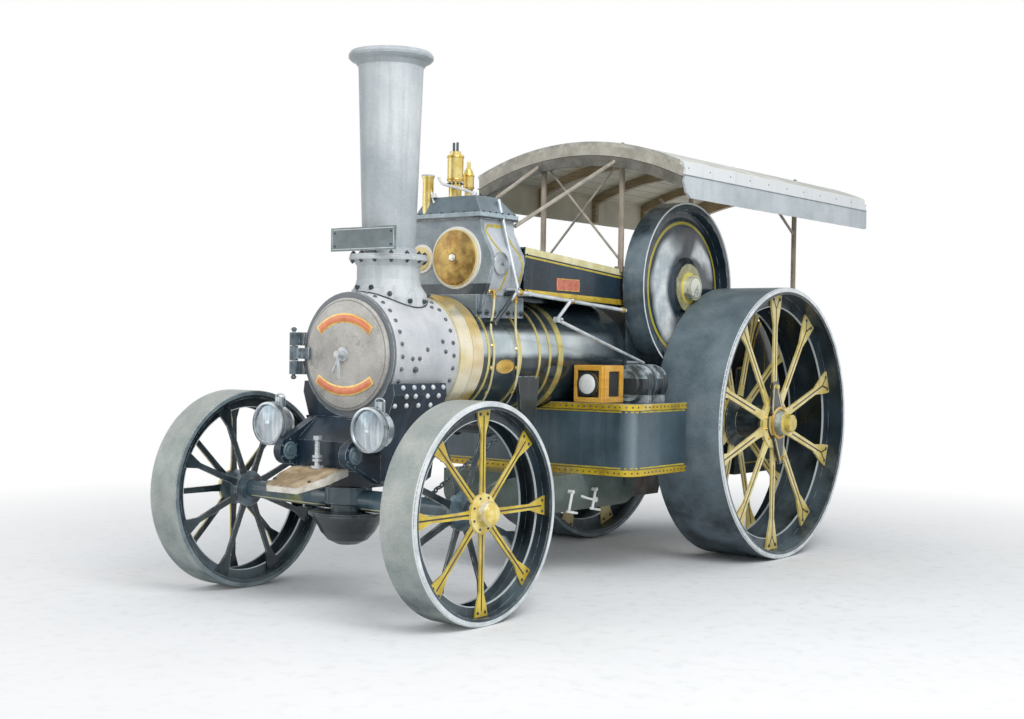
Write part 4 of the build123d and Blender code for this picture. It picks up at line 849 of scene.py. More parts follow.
guard_r, guard_back = 0.4325, 3.985
upper_gear, upper_r = (3.420, 1.550), 0.226
guard_rim = []
for angle in range(-30, 225, 15):
    seat = on_face(guard_face, rear_axle, guard_r, angle)
    x, y, z = seat[0]
    if y < guard_back and hypot(y - upper_gear[0], z - upper_gear[1]) > upper_r:
        guard_rim.append(seat)
rivets("gear_guard_rivets", mirror(guard_rim), 0.007, black_iron)
bearing = [(0.056, 0), (0.112, 0), (0.112, 0.012), (0.100, 0.020), (0.066, 0.024), (0.056, 0.024)]
seats = mirror([((horn_face, *crank_axis), (1, 0, 0))])
turned("crank_bearing_ring", seats, bearing, 40, horn_paint)
cap_nuts = mirror([on_face(0.4225, crank_axis, 0.088, 30 + 60 * k) for k in range(6)])
nuts("crank_bearing_nuts", cap_nuts, 0.010, black_iron)


# The crankshaft: forged steel, turned bright at its journals, with a pale cap that closes the
# flywheel's hub. The flywheel is one iron casting with a turned rim, a dished disc painted dark and
# varnished with pale painted reflections on it, a yellow ring, and a khaki hub outlined in black.
shaft = Finish("crank_steel", "c4cacd", "8b9499", 9.0)
shaft.lay(shaft.times(shaft.above(shaft.x, 0.5915), shaft.ramp(shaft.noise(9), 0.35, 0.5)), "e4e6d6")
cap_reach = shaft.from_axle(crank_axis)
shaft.lay(shaft.times(shaft.above(shaft.x, 0.640), shaft.within(cap_reach, 0.078, 0.088)), "8f8b5c")
dress(shaft.done(rough=0.3, metal=0.35, coat=0.2, grain=0.35), "crankshaft")
fly = Finish("flywheel_varnish_painted_reflection", "243a48", "101f29", 2.2)
reach = fly.from_axle(crank_axis)
across, up = fly.less(fly.y, station(crank_axis[0])), fly.less(fly.z, crank_axis[1])
# The pale crescents on the disc are painted reflections.
wander = fly.ramp(fly.noise(2.4, 1), 0.3, 0.7, -0.4, 0.4)
swing = fly.plus(fly.maths("ARCTAN2", up, across), wander)
ring = fly.plus(reach, fly.times(wander, 0.12))
ahead = fly.maths("ABSOLUTE", swing)
painted_front_reflection = fly.times(
    fly.ramp(ahead, 1.85, 2.25), fly.ramp(ring, 0.26, 0.31), fly.ramp(ring, 0.475, 0.425)
)
painted_rear_reflection = fly.times(
    fly.ramp(swing, 0.05, 0.4), fly.ramp(swing, 1.4, 1.05),
    fly.ramp(ring, 0.24, 0.28), fly.ramp(ring, 0.485, 0.44)
)
fly.cloud(fly.maths("MAXIMUM", painted_front_reflection, painted_rear_reflection), "eef2f3", "b4c0c5", 5.0)
fly.cloud(fly.above(reach, 0.6625), "6f8089", "2a3840", 2.4)
fly.cloud(fly.within(reach, 0.612, 0.6625), "4d5e67", "202c33", 3.0)
fly.lay(fly.within(reach, 0.650, 0.6625), "e6ebec")
fly.lay(fly.within(reach, 0.497, 0.520), "b9ad35")
fly.cloud(fly.below(reach, 0.206), "b0ad80", "8a885c", 10.0)
fly.lay(fly.within(reach, 0.186, 0.209), "161b1d")
fly.lay(fly.within(reach, 0.094, 0.122), "d6c552")
dress(fly.done(rough=0.25, coat=0.25, grain=0.2, bump=0.1, worn="d7dee0", gloss=0.35), "flywheel")


# The rear wheels and their axle. Each wheel is built up of flat cast spokes in two rows, bolted to a
# rolled rim with a smooth steel tyre shrunk on. The spokes are painted pale yellow and lined out in
# black, and a lined drive plate pins the brass-capped hub to the axle.
axle_paint = Finish("axle_blue_grey_paint", "627a84", "3d525b", 5.0).done(rough=0.4, coat=0.3, worn="93a2a8")
dress(axle_paint, "rear_axle")


def tyre_finish(name, axle, colour, deep, low_deep, outer_face, inner_face):
    """A steel tyre: a worn slate tread with painted shade low down, and pale edges rubbed bright."""
    tread_r = axle[1]
    tyre = Finish(name, colour, deep, 3.0)
    # Darker low down: painted shade.
    low = tyre.ramp(tyre.plus(tyre.z, tyre.times(tyre.noise(2.0, 3), 0.5)), 1.15 * tread_r, 0.5 * tread_r)
    tyre.cloud(low, deep, low_deep, 4.0)
    reach = tyre.from_axle(axle)
    across = tyre.maths("ABSOLUTE", tyre.x)
    tyre.cloud(tyre.above(across, outer_face - 0.002), "e3e7e8", "c3cbce", 9.0)
    back = tyre.below(across, inner_face + 0.002)
    tyre.cloud(back, "8b999e", "5d6d74", 6.0)
    tyre.lay(tyre.times(back, tyre.below(reach, tread_r - 0.040)), "dfe4e6")
    corner = tyre.times(tyre.above(reach, tread_r - 0.003), tyre.above(across, outer_face - 0.012))
    tyre.lay(corner, "dfe3e4")
    return tyre.done(rough=0.45, metal=0.15, grain=0.45, bump=0.35)


def rim_finish(name, axle, inner_r, line_r):
    """A rolled rim in black paint, lighter low down with a painted highlight, and a narrow pale line near
    the edge of its flange ring.
    """
    rim = Finish(name, "2a3942", "121b20", 3.2)
    reach = rim.from_axle(axle)
    # Lighter towards the bottom: a painted highlight.
    low = rim.ramp(rim.z, 0.75 * axle[1], 0.2 * axle[1])
    rim.cloud(rim.times(low, 0.6), "74858c", "2a3840", 3.0)
    rim.lay(rim.within(reach, inner_r - 0.001, line_r), "c9d2d4")
    return rim.done(rough=0.32, coat=0.25, grain=0.3, worn="a9b6ba", gloss=0.35)


def dress_wheels(end, tyre, rim, spokes):
    for side in ("left", "right"):
        dress(tyre, f"{end}_tyre_{side}")
        dress(rim, f"{end}_rim_{side}")
        dress(spokes, f"{end}_spokes_{side}")


rear_tyre = tyre_finish("rear_tyre_steel", rear_axle, "7f8e96", "596a73", "26333a", 1.180, 0.600)
rear_rim = rim_finish("rear_rim_paint", rear_axle, 0.915, 0.921)
yellow = Finish("rear_spoke_paint", "eddc96", "d3bc5e", 7.0)
hub_reach = yellow.from_axle(rear_axle)
hub_out = yellow.maths("ABSOLUTE", yellow.x)
cap_r = 0.1235
on_plate = yellow.times(yellow.above(hub_out, 1.0815), yellow.above(hub_reach, cap_r))
yellow.cloud(on_plate, "222d2e", "11191b", 11.0)
hub_back = yellow.times(yellow.within(hub_out, 0.732, 1.048), yellow.below(hub_reach, 0.215))
yellow.cloud(hub_back, "36454d", "1b272d", 9.0)
yellow.cloud(yellow.times(on_plate, yellow.above(hub_out, 1.1055)), "d8c468", "a98f3a", 20.0)
barrel_part = yellow.times(yellow.above(hub_out, 1.1065), yellow.below(hub_reach, cap_r))
yellow.cloud(barrel_part, "d3d9d2", "7f8b84", 16.0)
yellow.cloud(yellow.above(hub_out, 1.172), "e0c95a", "b39a3c", 16.0)
dress_wheels("rear", rear_tyre, rear_rim, yellow.done(rough=0.34, coat=0.5, grain=0.3, worn="f6efd4"))


def spoke_line(axle, face, angle, start, stop):
    """A run out along the middle of one spoke, on a face of it."""
    return [on_face(face, axle, reach, angle) for reach in (start, stop)]


def foot_seats(axle, face, angle, reach, half, facing=1):
    """Seats at both corners of one spoke's foot."""
    turn = radians(angle)
    seats = []
    for across in (-half, half):
        y = axle[0] + cos(turn) * reach - sin(turn) * across
        z = axle[1] + sin(turn) * reach + cos(turn) * across
        seats.append(((face, y, z), (facing, 0, 0)))
    return seats


black_lining = Finish("black_lining", "23292b", "171c1e", 20.0).done(rough=0.35, coat=0.3)
outer_face, back_face, inner_ring, tilt = 1.066, 0.730, 0.714, radians(12)
fork_r, foot_r, foot_half, nut_r = 0.900, 0.974, 0.052, 0.166
runs, feet = [], []
for angle in range(90, 450, 36):
    runs.append(spoke_line(rear_axle, outer_face, angle, 0.335, fork_r))
    fork = on_face(outer_face, rear_axle, fork_r, angle)
    runs += [[fork, corner] for corner in foot_seats(rear_axle, outer_face, angle, 0.975, 0.045)]
    runs.append(spoke_line(rear_axle, back_face, angle + 18, 0.300, fork_r))
    feet += foot_seats(rear_axle, outer_face, angle, foot_r, foot_half)
    feet += foot_seats(rear_axle, inner_ring, angle + 18, foot_r, foot_half, -1)
plate_outline = (
    (-0.022, 0.306), (0.022, 0.306), (0.076, 0.098), (0.076, -0.098), (0.022, -0.306), (-0.022, -0.306),
    (-0.076, -0.098), (-0.076, 0.098), (-0.022, 0.306),
)
plate_line = []
for y, z in plate_outline:
    behind = rear_axle[0] + y * cos(tilt) - z * sin(tilt)
    plate_line.append(((1.104, behind, rear_axle[1] + y * sin(tilt) + z * cos(tilt)), (1, 0, 0)))
hub_nuts = []
for angle in range(15, 375, 30):
    beside_plate = abs(nut_r * cos(radians(angle) - tilt)) > 0.115
    if beside_plate:
        hub_nuts.append(on_face(1.076, rear_axle, nut_r, angle))
hub_collar = [(0.122, -0.004), (0.128, 0), (0.128, 0.010), (0.118, 0.016), (0.110, 0.016)]
collar_seat = [((1.106, *rear_axle), (1, 0, 0))]
for name, sided in (("left", list), ("right", mirror)):
    wheel = f"rear_wheel_{name}"
    lines = [sided(run) for run in runs]
    strips(f"rear_spoke_lining_{name}", lines, 0.012, 0.0012, black_lining, wheel)
    rivets(f"rear_spoke_rivets_{name}", sided(feet), 0.013, black_iron, wheel)
    lines = [sided(plate_line)]
    strips(f"drive_plate_lining_{name}", lines, 0.012, 0.0015, cream_enamel, wheel)
    nuts(f"rear_hub_nuts_{name}", sided(hub_nuts), 0.013, polished_brass, wheel)
    turned(f"rear_hub_collar_{name}", sided(collar_seat), hub_collar, 40, polished_brass, wheel)


# The tender, footplate, drawbar and brake column at the back: riveted plate in dark blue lined with
# yellow, a chequered steel floor to stand on, a forged hitch, and a cast column with a brass knob.
tender_side, tender_back = 0.560, 5.200
tender = Finish("tender_navy_paint", "2f3e47", "1b272e", 2.2)
tender_inside = tender.below(tender.maths("ABSOLUTE", tender.x), 0.5515)
tender.cloud(tender.times(tender_inside, tender.over(1.152)), "3a3f42", "24282a", 8.0)
dress(tender.done(rough=0.32, coat=0.3, grain=0.25, worn="9fafb5", gloss=0.35), "tender")
tender_rivets = row((tender_side, 5.178, 0.690), (tender_side, 5.178, 1.800), 16)
for z in (0.625, 1.125):
    tender_rivets += row((tender_side, 4.030, z), (tender_side, 5.164, z), 22)
tender_rivets = pair(*tender_rivets)
for z in (0.625, 1.125):
    tender_rivets += row((-0.5, tender_back, z), (0.5, tender_back, z), 21, backwards)
rivets("tender_rivets", tender_rivets, 0.008, motion.material)
lining_runs = [frame_run((-0.48, 1.20), (0.48, 1.84), lambda x, z: ((x, tender_back, z), backwards), False)]
for low, high in (((4.06, 0.69), (5.12, 1.07)), ((4.48, 1.20), (5.12, 1.84))):
    run = frame_run(low, high, lambda y, z: ((tender_side, y, z), (1, 0, 0)), False)
    lining_runs += [mirror(run), run]
strips("tender_lining", lining_runs, 0.010, 0.001, yellow_lining)
side_top = ((3.995, 1.480), (4.180, 1.500), (4.42, 1.900), (4.80, 1.900), (5.195, 1.900))
run = [((0.556, y, z), upwards) for y, z in side_top]
edge_run = [mirror(run), run, row((-0.55, 5.196, 1.900), (0.55, 5.196, 1.900), 3, upwards)]
strips("tender_top_beading", edge_run, 0.016, 0.006, polished_brass)
tread = Finish("chequer_plate", "59646a", "333c41", 5.0)
lean, cross = tread.plus(tread.x, tread.y), tread.less(tread.x, tread.y)
ridge = tread.times(tread.maths("PINGPONG", lean, 0.018), tread.maths("PINGPONG", cross, 0.018))
ridge = tread.ramp(ridge, 0.00005, 0.0002)
dress(tread.done(rough=0.5, metal=0.4, grain=0.4, relief=ridge, bump=0.8), "footplate")
hitch = Finish("hitch_iron", "525e64", "30393e", 7.0)
dress(hitch.done(rough=0.5, metal=0.3, grain=0.4, bump=0.4, worn="a3adb1"), "drawbar")
jaw_bolts = [((x, 5.230, z), backwards) for x in (-0.09, 0.09) for z in (0.61, 0.79)]
nuts("drawbar_bolts", jaw_bolts, 0.015, black_iron)
brake = Finish("brake_column_paint", "3b474e", "262f35", 6.0)
brake.cloud(brake.over(1.9125), "e2c668", "b6903c", 20.0)
dress(brake.done(rough=0.35, coat=0.4, worn="8f9ba0"), "brake_column")
foot_bolts = ring_seats((0.490, 4.330, 1.170), 0.044, 4, upwards, 45)
nuts("brake_column_bolts", foot_bolts, 0.008, black_iron)


# The water tanks: one wide riveted tank across the engine and the belly tank below it. The upper one
# is slate blue between two polished brass strips, the lower one dark green with a plug in its side.
tank = Finish("tank_slate_paint", "4b5f6a", "32434c", 2.0)
streak = tank.ramp(tank.noise(1.0, 5, (5, 5, 0.35)), 0.52, 0.68, 0.0, 0.4)
tank.lay(streak, "70838c")
# A pale stripe down the bowed front corners is a painted highlight.
painted_corner_highlight = tank.times(
    tank.ramp(tank.y, station(1.89), station(1.93)), tank.ramp(tank.y, station(1.98), station(1.94)),
    tank.above(tank.maths("ABSOLUTE", tank.x), 0.8),
)
tank.lay(tank.times(painted_corner_highlight, 0.4), "9aa9b0")
dress(tank.done(rough=0.34, coat=0.25, grain=0.35, bump=0.2), "side_tanks")
beading = Finish("beading_brass", "dcbf33", "b3922a", 6.0)
beading.cloud(beading.ramp(beading.noise(1.6, 4), 0.52, 0.62), "f0e6b8", "dccb6e", 12.0)
# The top of the upper strip is paler: a painted highlight.
beading.lay(beading.over(1.2435), "efe9cf")
dress(beading.done(rough=0.28, metal=0.4, grain=0.3, bump=0.2), "tank_beading")


tank_half_width, corner_r = 0.900, 0.110
corner_x, corner_y = 0.790, 1.991


def tank_edge(grow, z):
    """Seats along the tank's left side, round its bowed front and back along its right side."""
    face, radius = tank_half_width + grow, corner_r + grow
    half = row((face, 2.600, z), (face, 2.050, z), 12)
    for angle in (15, 37, 59, 81):
        ahead, out = sin(radians(angle)), cos(radians(angle))
        half.append(((corner_x + radius * out, corner_y - radius * ahead, z), (out, -ahead, 0)))
    for k in range(16):
        x = 0.770 - 0.0513 * k
        bowed_y = 1.850 - grow + 0.034 * x / tank_half_width
        half.append(((x, bowed_y, z), (0, -1, 0)))
    return half + mirror(half[-2::-1])


beading_seats = tank_edge(0.010, 0.759) + tank_edge(0.010, 1.223)
rivets("tank_beading_rivets", beading_seats, 0.0065, black_iron)
tank_runs = [tank_edge(0.001, 1.190), tank_edge(0.001, 0.792)]
strips("tank_lining", tank_runs, 0.011, 0.0012, yellow_lining, sink=0.004)
belly = Finish("belly_green_paint", "5f6d69", "424e42", 3.0)
# Darker towards the bottom: painted shade.
belly.cloud(belly.ramp(belly.z, 0.62, 0.45, 0.0, 0.6), "4b5650", "333d3a", 5.0)
dress(belly.done(rough=0.45, coat=0.2, grain=0.4, bump=0.35, worn="98a39f"), "belly_tank")
plug = [(0.030, -0.002), (0.030, 0.004), (0.024, 0.006), (0.018, 0.004), (0.016, 0.010), (0, 0.010)]
turned("belly_plugs", pair(((0.500, 2.420, 0.640), (1, 0, 0))), plug, 8, black_iron)
belly_rivets = pair(*row((0.500, 1.545, 0.712), (0.500, 2.469, 0.712), 15))
rivets("belly_rivets", belly_rivets, 0.007, belly.material)


# The drain cocks on the belly tank: white-painted pipes with plug cocks and handles at their ends.
cocks = Finish("cock_white_paint", "eef0ee", "cfd5d4", 12.0)
dress(cocks.done(rough=0.4, coat=0.3, worn="b9a66a"), "drain_cocks")
lever = [(0.535, 1.994, 0.545), (0.540, 1.92, 0.550), (0.545, 1.80, 0.585)]
bent_pipe("cock_lever", lever, 0.009, white_paint)
lever_boss = [(0.020, 0), (0.020, 0.018), (0.014, 0.022), (0, 0.022)]
turned("cock_lever_boss", [((0.520, 1.994, 0.545), (1, 0, 0))], lever_boss, 12, white_paint)


# The square lamps on the tank: boxes of varnished orange wood. Each has a dark recess in front with a
# round white lens, and another in its outer side, framed by mitred battens that are pinned on.
wood = Finish("lamp_orange_wood", "f2c75f", "dfa537", 4.0)
figure = wood.ramp(wood.noise(1.0, 6, (6, 6, 60)), 0.42, 0.60, 0.0, 0.4)
wood.lay(figure, "bd7d22")
orange_wood = wood.done(rough=0.35, coat=0.5, grain=0.35, worn="efc271")
dress(orange_wood, "tank_lamps")
recess = Finish("lamp_recess_paint", "2b2f30", "171a1b", 10.0).done(rough=0.6)
lens = Finish("lamp_lens", "f3f4f2", "dfe4e6", 9.0).done(rough=0.1, coat=1.0, grain=0.1)
dome = [(0.074, -0.004), (0.074, 0.003), (0.060, 0.010), (0.035, 0.014), (0, 0.016)]
bezel = [(0.072, -0.006), (0.0865, -0.006), (0.0865, 0.004), (0.080, 0.009), (0.072, 0.006)]
face = 1.910
front, wall, end = face - 0.018, face + 0.004, face + 0.236
lamp_foot, lamp_top = 1.247, 1.513
for name, low, side in (("left", 0.392, 1), ("right", -0.724, -1)):
    high, middle = low + 0.248, low + 0.124
    hollow = ((middle - 0.096, face - 0.005, 1.284), (middle + 0.096, wall, 1.476))
    blocks(f"tank_lamp_front_{name}", [hollow], 0.002, recess)
    outer = high if side > 0 else low
    near, far = sorted((outer - side * 0.004, outer + side * 0.015))
    battens = [
        ((low + 0.002, front, 1.476), (high - 0.002, wall, lamp_top)),
        ((low + 0.002, front, lamp_foot), (high - 0.002, wall, 1.284)),
        ((low + 0.002, front, 1.282), (low + 0.030, wall, 1.478)),
        ((high - 0.030, front, 1.282), (high - 0.002, wall, 1.478)),
        ((near, wall, 1.470), (far, end, lamp_top)),
        ((near, wall, lamp_foot), (far, end, 1.290)),
        ((near, wall, 1.288), (far, face + 0.050, 1.472)),
        ((near, face + 0.190, 1.288), (far, end, 1.472)),
    ]
    blocks(f"tank_lamp_battens_{name}", battens, 0.003, orange_wood)
    hollow = ((outer - 0.003, face + 0.048, 1.286), (outer + 0.003, face + 0.192, 1.474))
    blocks(f"tank_lamp_side_{name}", [hollow], 0.001, recess)
    seat = [((middle, face - 0.022, 1.380), (0, -1, 0))]
    turned(f"tank_lamp_lens_{name}", seat, dome, 36, lens)
    turned(f"tank_lamp_bezel_{name}", seat, bezel, 36, recess)


# The suction hose: rubber hose rolled up on two cradles behind the left-hand lamp, held by a strap.
hose_x, hose_z = 0.640, 1.385
hose = Finish("hose_rubber", "414b50", "20282c", 5.0)
# Pale patches on the top of the coils are a painted highlight.
painted_highlight_patches = hose.ramp(hose.noise(6, 4), 0.46, 0.56)
hose.cloud(hose.times(painted_highlight_patches, hose.over(1.42)), "bcc8cc", "76868c", 9.0)
hose.cloud(hose.under(1.30), "c5cdcf", "68757b", 12.0)
ribs = hose.maths("SINE", hose.times(hose.y, 230))
hose_black = hose.done(rough=0.45, coat=0.3, grain=0.4, relief=hose.times(ribs, 0.8), bump=0.6)
dress(hose_black, "suction_hose")
coils = row((hose_x, 2.245, hose_z), (hose_x, 2.545, hose_z), 9, backwards)
coil = [(0.124, -0.017), (0.134, -0.012), (0.138, 0), (0.134, 0.012), (0.124, 0.017)]
turned("hose_coils", coils, coil, 40, hose_black)
end_turns = [
    (0.104, -0.006), (0.104, 0.004), (0.088, 0.012), (0.070, 0.006), (0.052, 0.010), (0.030, 0.004),
    (0, 0.004),
]
ends = [((hose_x, 2.220, hose_z), (0, -1, 0)), ((hose_x, 2.571, hose_z), backwards)]
turned("hose_end_turns", ends, end_turns, 36, hose_black)
strap_turn = [(0.136, -0.011), (0.1405, -0.011), (0.1405, 0.011), (0.136, 0.011)]
turned("hose_strap", [((hose_x, 2.395, hose_z), backwards)], strap_turn, 40, rivet_paint)


# The perch bracket: a heavy casting under the smokebox that carries the front axle, black, with pale
# edges that are worn and painted as highlights. Three rows of bright rivets on each side fix it to the
# smokebox, and its two lobes in front take bolts.
perch = Finish("perch_black_paint", "1d3344", "0b1a26", 4.0)
dress(perch.done(rough=0.4, coat=0.15, grain=0.4, bump=0.45, worn="b9c5c9", gloss=0.35), "perch_bracket")
row_table = (
    # height of the row, how far behind the front axle its rivets are
    (1.374, (0.067, 0.170, 0.254, 0.350, 0.448)),
    (1.320, (0.096, 0.180, 0.294, 0.400)),
    (1.262, (0.010, 0.116, 0.228, 0.343)),
)
perch_side = ((1.400, 0.388), (1.330, 0.398), (1.130, 0.330))
bright_paint = Finish("rivet_bright_paint", "eceff0", "c8d0d3", 20.0).done(rough=0.4, coat=0.2)
row_seats = []
for z, behinds in row_table:
    (top, wide), (foot, narrow) = perch_side[:2] if z > perch_side[1][0] else perch_side[1:]
    slope = (narrow - wide) / (top - foot)
    half = wide + slope * (top - z)
    row_seats += pair(*[((half, y, z), (1, 0, slope)) for y in behinds])
rivets("perch_rivets", row_seats, 0.017, bright_paint)
lobe = (-0.268, 0.966)
lobe_cap = [
    (0.058, -0.003), (0.058, 0.005), (0.050, 0.010), (0.040, 0.008), (0.034, 0.008), (0.030, 0.016),
    (0, 0.018),
]
lobe_seats, lobe_bolts = [], []
for x, facing in ((0.314, 1), (0.254, -1)):
    lobe_seats += pair(((x, *lobe), (facing, 0, 0)))
    lobe_bolts += pair(*[on_face(x, lobe, 0.070, 60 * k + 30, facing) for k in range(6)])
turned("perch_lobe_caps", lobe_seats, lobe_cap, 28, axle_paint)
rivets("perch_lobe_bolts", lobe_bolts, 0.007, rivet_paint)


# The front axle: a round forged beam, tapered to its ends, with a black bell under its middle where
# it turns on the king pin. The beam is blue-grey with one thin cream line.
front_axle = (0, 0.660)
beam = Finish("beam_blue_grey_paint", "5a7480", "364b54", 3.2)
patches = beam.ramp(beam.noise(1.6, 3), 0.50, 0.58)
beam.cloud(beam.times(patches, beam.below(beam.x, 0.1)), "8b9268", "66705a", 9.0)
bell = beam.below(beam.from_axis(beam.x, beam.y, 0, station(0)), 0.262)
beam.cloud(beam.times(bell, beam.under(0.594)), "243037", "131b20", 5.0)
dress(beam.done(rough=0.36, coat=0.5, grain=0.35, worn="a5b4ba"), "front_axle")
beam_radius, beam_end_radius, taper_start, taper_length = 0.068, 0.056, 0.270, 0.562
line_ahead, line_down = cos(0.75), sin(0.75)
beam_line = []
for k in range(13):
    x = 0.16 + 0.058 * k
    radius = beam_radius - (beam_radius - beam_end_radius) * max(x - taper_start, 0) / taper_length
    place = (x, -radius * line_ahead, front_axle[1] - radius * line_down)
    beam_line.append((place, (0, -line_ahead, -line_down)))
beam_lines = [mirror(beam_line), beam_line]
strips("axle_lining", beam_lines, 0.010, 0.001, cream_enamel, "front_axle")


# The footboard and the draw pin: a brown oak board on the nose of the bracket, worn pale at its edge,
# and a steel pin dropped through its eye.
oak = Finish("footboard_oak", "b7a07f", "94805f", 5.0)
oak_grain = oak.ramp(oak.noise(1.0, 6, (40, 4, 40)), 0.44, 0.62, 0.0, 0.7)
oak.lay(oak_grain, "7d6748")
oak.cloud(oak.ramp(oak.noise(5, 4), 0.5, 0.6), "c9b798", "a98f6b", 9.0)
board_slope = 0.090 / 0.275
sunk = oak.times(oak.less(oak.y, station(-0.300)), board_slope)
board_top = oak.plus(oak.maths("MINIMUM", sunk, 0.0), 0.867)
oak.cloud(oak.under(board_top), "e6e1d6", "bdb5a4", 12.0)
dress(oak.done(rough=0.6, grain=0.5, bump=0.5, worn="e3dccd"), "footboard")
level_bolt = ((0.150, -0.245, 0.872), upwards)
sloped_bolt = ((0.150, -0.490, 0.872 - board_slope * 0.190), (0, -board_slope, 1))
rivets("footboard_bolts", pair(level_bolt, sloped_bolt), 0.012, black_iron)
pin = Finish("draw_pin_steel", "dfe4e7", "a4aeb3", 12.0)
dress(pin.done(rough=0.28, metal=0.5, grain=0.3), "draw_pin")


# The head lamps: spun and silvered shells on forged arms. Each has a rolled bezel, a clear glass over
# its silvered bowl, and a small vent on top with a ring handle.
silver = Finish("lamp_silvering", "c6d0d6", "8b98a1", 3.0)
silver_streak = silver.ramp(silver.noise(1.0, 5, (38, 6, 1.2)), 0.44, 0.60, 0.0, 0.8)
silver.lay(silver_streak, "e2e7ea")
# The glass is darker blue-grey towards its top: a painted reflection.
painted_glass_reflection = silver.times(silver.ramp(silver.z, 1.10, 1.24), silver.before(-0.26))
silver.cloud(painted_glass_reflection, "7f929d", "4f626d", 20.0)
silver.cloud(silver.behind(-0.155), "42515a", "28343b", 9.0)
dress(silver.done(rough=0.22, metal=0.6, coat=0.5, grain=0.2, bump=0.12), "head_lamps")
lamp_x, lamp_z = 0.436, 1.128
rolled = [(0.118, -0.010), (0.134, -0.010), (0.139, -0.002), (0.137, 0.008), (0.124, 0.011), (0.118, 0.004)]
band = [(0.134, -0.006), (0.1385, -0.006), (0.1385, 0.006), (0.134, 0.006)]
for name, y, section in (("bezels", -0.288, rolled), ("bands", -0.256, band)):
    seats = pair(((lamp_x, y, lamp_z), (0, -1, 0)))
    turned(f"head_lamp_{name}", seats, section, 48, bright_steel)
for name, x in (("left", lamp_x), ("right", -lamp_x)):
    ring = []
    for k in range(13):
        turn = radians(-20 + 220 * k / 12)
        ring.append((x + 0.038 * cos(turn), -0.186, 1.294 + 0.022 * sin(turn)))
    bent_pipe(f"head_lamp_handle_{name}", ring, 0.006, bright_steel)


# The front wheels: spokes in two rows on a rolled rim with a pale worn tyre, like the rear ones. The
# outer row and the hub are golden yellow with a black line down each spoke, and the inner row is black.
front_tyre = tyre_finish("front_tyre_steel", front_axle, "b9bcb6", "8f9995", "46545a", 1.140, 0.880)
front_rim = rim_finish("front_rim_paint", front_axle, 0.546, 0.551)
golden = Finish("front_spoke_paint", "33424a", "192328", 6.0)
spoke_out = golden.maths("ABSOLUTE", golden.x)
golden.cloud(golden.above(spoke_out, 1.083), "dcc23e", "b79a22", 8.0)
front_reach = golden.from_axle(front_axle)
front_hub = golden.times(golden.above(spoke_out, 1.083), golden.below(front_reach, 0.120))
golden.cloud(front_hub, "efdc8a", "d6ba4e", 14.0)
golden.cloud(golden.within(spoke_out, 1.120, 1.165), "f4efdc", "cdb65a", 18.0)
inner_hub = golden.times(golden.below(spoke_out, 1.07), golden.below(front_reach, 0.122))
golden.cloud(inner_hub, "6d828d", "2f3d45", 9.0)
dress_wheels("front", front_tyre, front_rim, golden.done(rough=0.34, coat=0.3, grain=0.3, worn="d5d8cc"))
spoke_face, hub_face = 1.094, 1.102
foot_r, foot_half, inner_ring = 0.583, 0.034, 0.926
runs, feet = [], []
for angle in range(90, 450, 45):
    runs.append(spoke_line(front_axle, spoke_face, angle, 0.125, 0.575))
    feet += foot_seats(front_axle, spoke_face, angle, foot_r, foot_half)
    feet += foot_seats(front_axle, inner_ring, angle + 22.5, foot_r, foot_half, -1)
hub_nuts = [on_face(hub_face, front_axle, 0.098, 22.5 + 45 * k) for k in range(8)]
hub_line = [on_face(hub_face, front_axle, 0.086, 11.25 * (k % 32)) for k in range(33)]
for name, sided in (("left", list), ("right", mirror)):
    wheel = f"front_wheel_{name}"
    lines = [sided(run) for run in runs]
    strips(f"front_spoke_lining_{name}", lines, 0.0095, 0.0012, black_lining, wheel)
    rivets(f"front_spoke_rivets_{name}", sided(feet), 0.0095, black_iron, wheel)
    nuts(f"front_hub_nuts_{name}", sided(hub_nuts), 0.008, black_iron, wheel)
    strips(f"front_hub_lining_{name}", [sided(hub_line)], 0.004, 0.001, black_lining, wheel)


# The steering gear: a worm shaft from the handwheel, a worm wheel, and the barrel that winds the two
# chains to the axle, all blackened iron. The chains have forged links, each threaded through the next.
gear = Finish("steering_black_paint", "2c373d", "161e22", 6.0)
dress(gear.done(rough=0.38, coat=0.35, worn="9aa6aa"), "chain_barrel", "steering_brackets")
hand = Finish("handwheel_paint", "465259", "2a343a", 6.0)
grip = hand.above(hand.from_axis(hand.x, hand.y, -0.430, station(3.80)), 0.142)
hand.cloud(grip, "c3cacc", "8f999d", 12.0)
dress(hand.done(rough=0.3, metal=0.4, worn="c0c8ca"), "steering_wheel")
chain_iron = Finish("chain_iron", "6b767b", "3c464b", 25.0).done(rough=0.45, metal=0.5, grain=0.4)
link_pitch, link_wire, link_bend = 0.050, 0.0062, 0.0135
link_steps, wire_sides = 20, 6
link_points, link_faces = [], []
for start, end in (
    ((0.120, 1.360, 0.989), (0.520, 0.112, 0.674)),
    ((-0.120, 1.360, 1.151), (-0.520, 0.112, 0.674)),
):
    start, end = Vector(start), Vector(end)
    run = end - start
    count = round(run.length / link_pitch)
    along = run.normalized()
    aside = along.cross(Vector((0, 0, 1))).normalized()
    half = 0.5 * run.length / count - 0.0005
    for k in range(count):
        middle = start + run * ((k + 0.5) / count)
        first = aside if k % 2 else along.cross(aside)
        across = along.cross(first)
        base = len(link_points)
        for step in range(link_steps):
            turn = 2 * pi * step / link_steps
            out = along * cos(turn) + first * sin(turn)
            reach = copysign(abs(cos(turn)) ** 0.6, cos(turn))
            centre = middle + along * (half * reach) + first * (link_bend * sin(turn))
            low, high = base + wire_sides * step, base + wire_sides * ((step + 1) % link_steps)
            for face in range(wire_sides):
                lean = 2 * pi * face / wire_sides
                link_points.append(centre + (out * cos(lean) + across * sin(lean)) * link_wire)
                m = (face + 1) % wire_sides
                link_faces.append((low + face, low + m, high + m, high + face))
links = fit("steering_chain_links", link_points, link_faces, chain_iron, None)
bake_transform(links)
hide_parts("steering_chains")


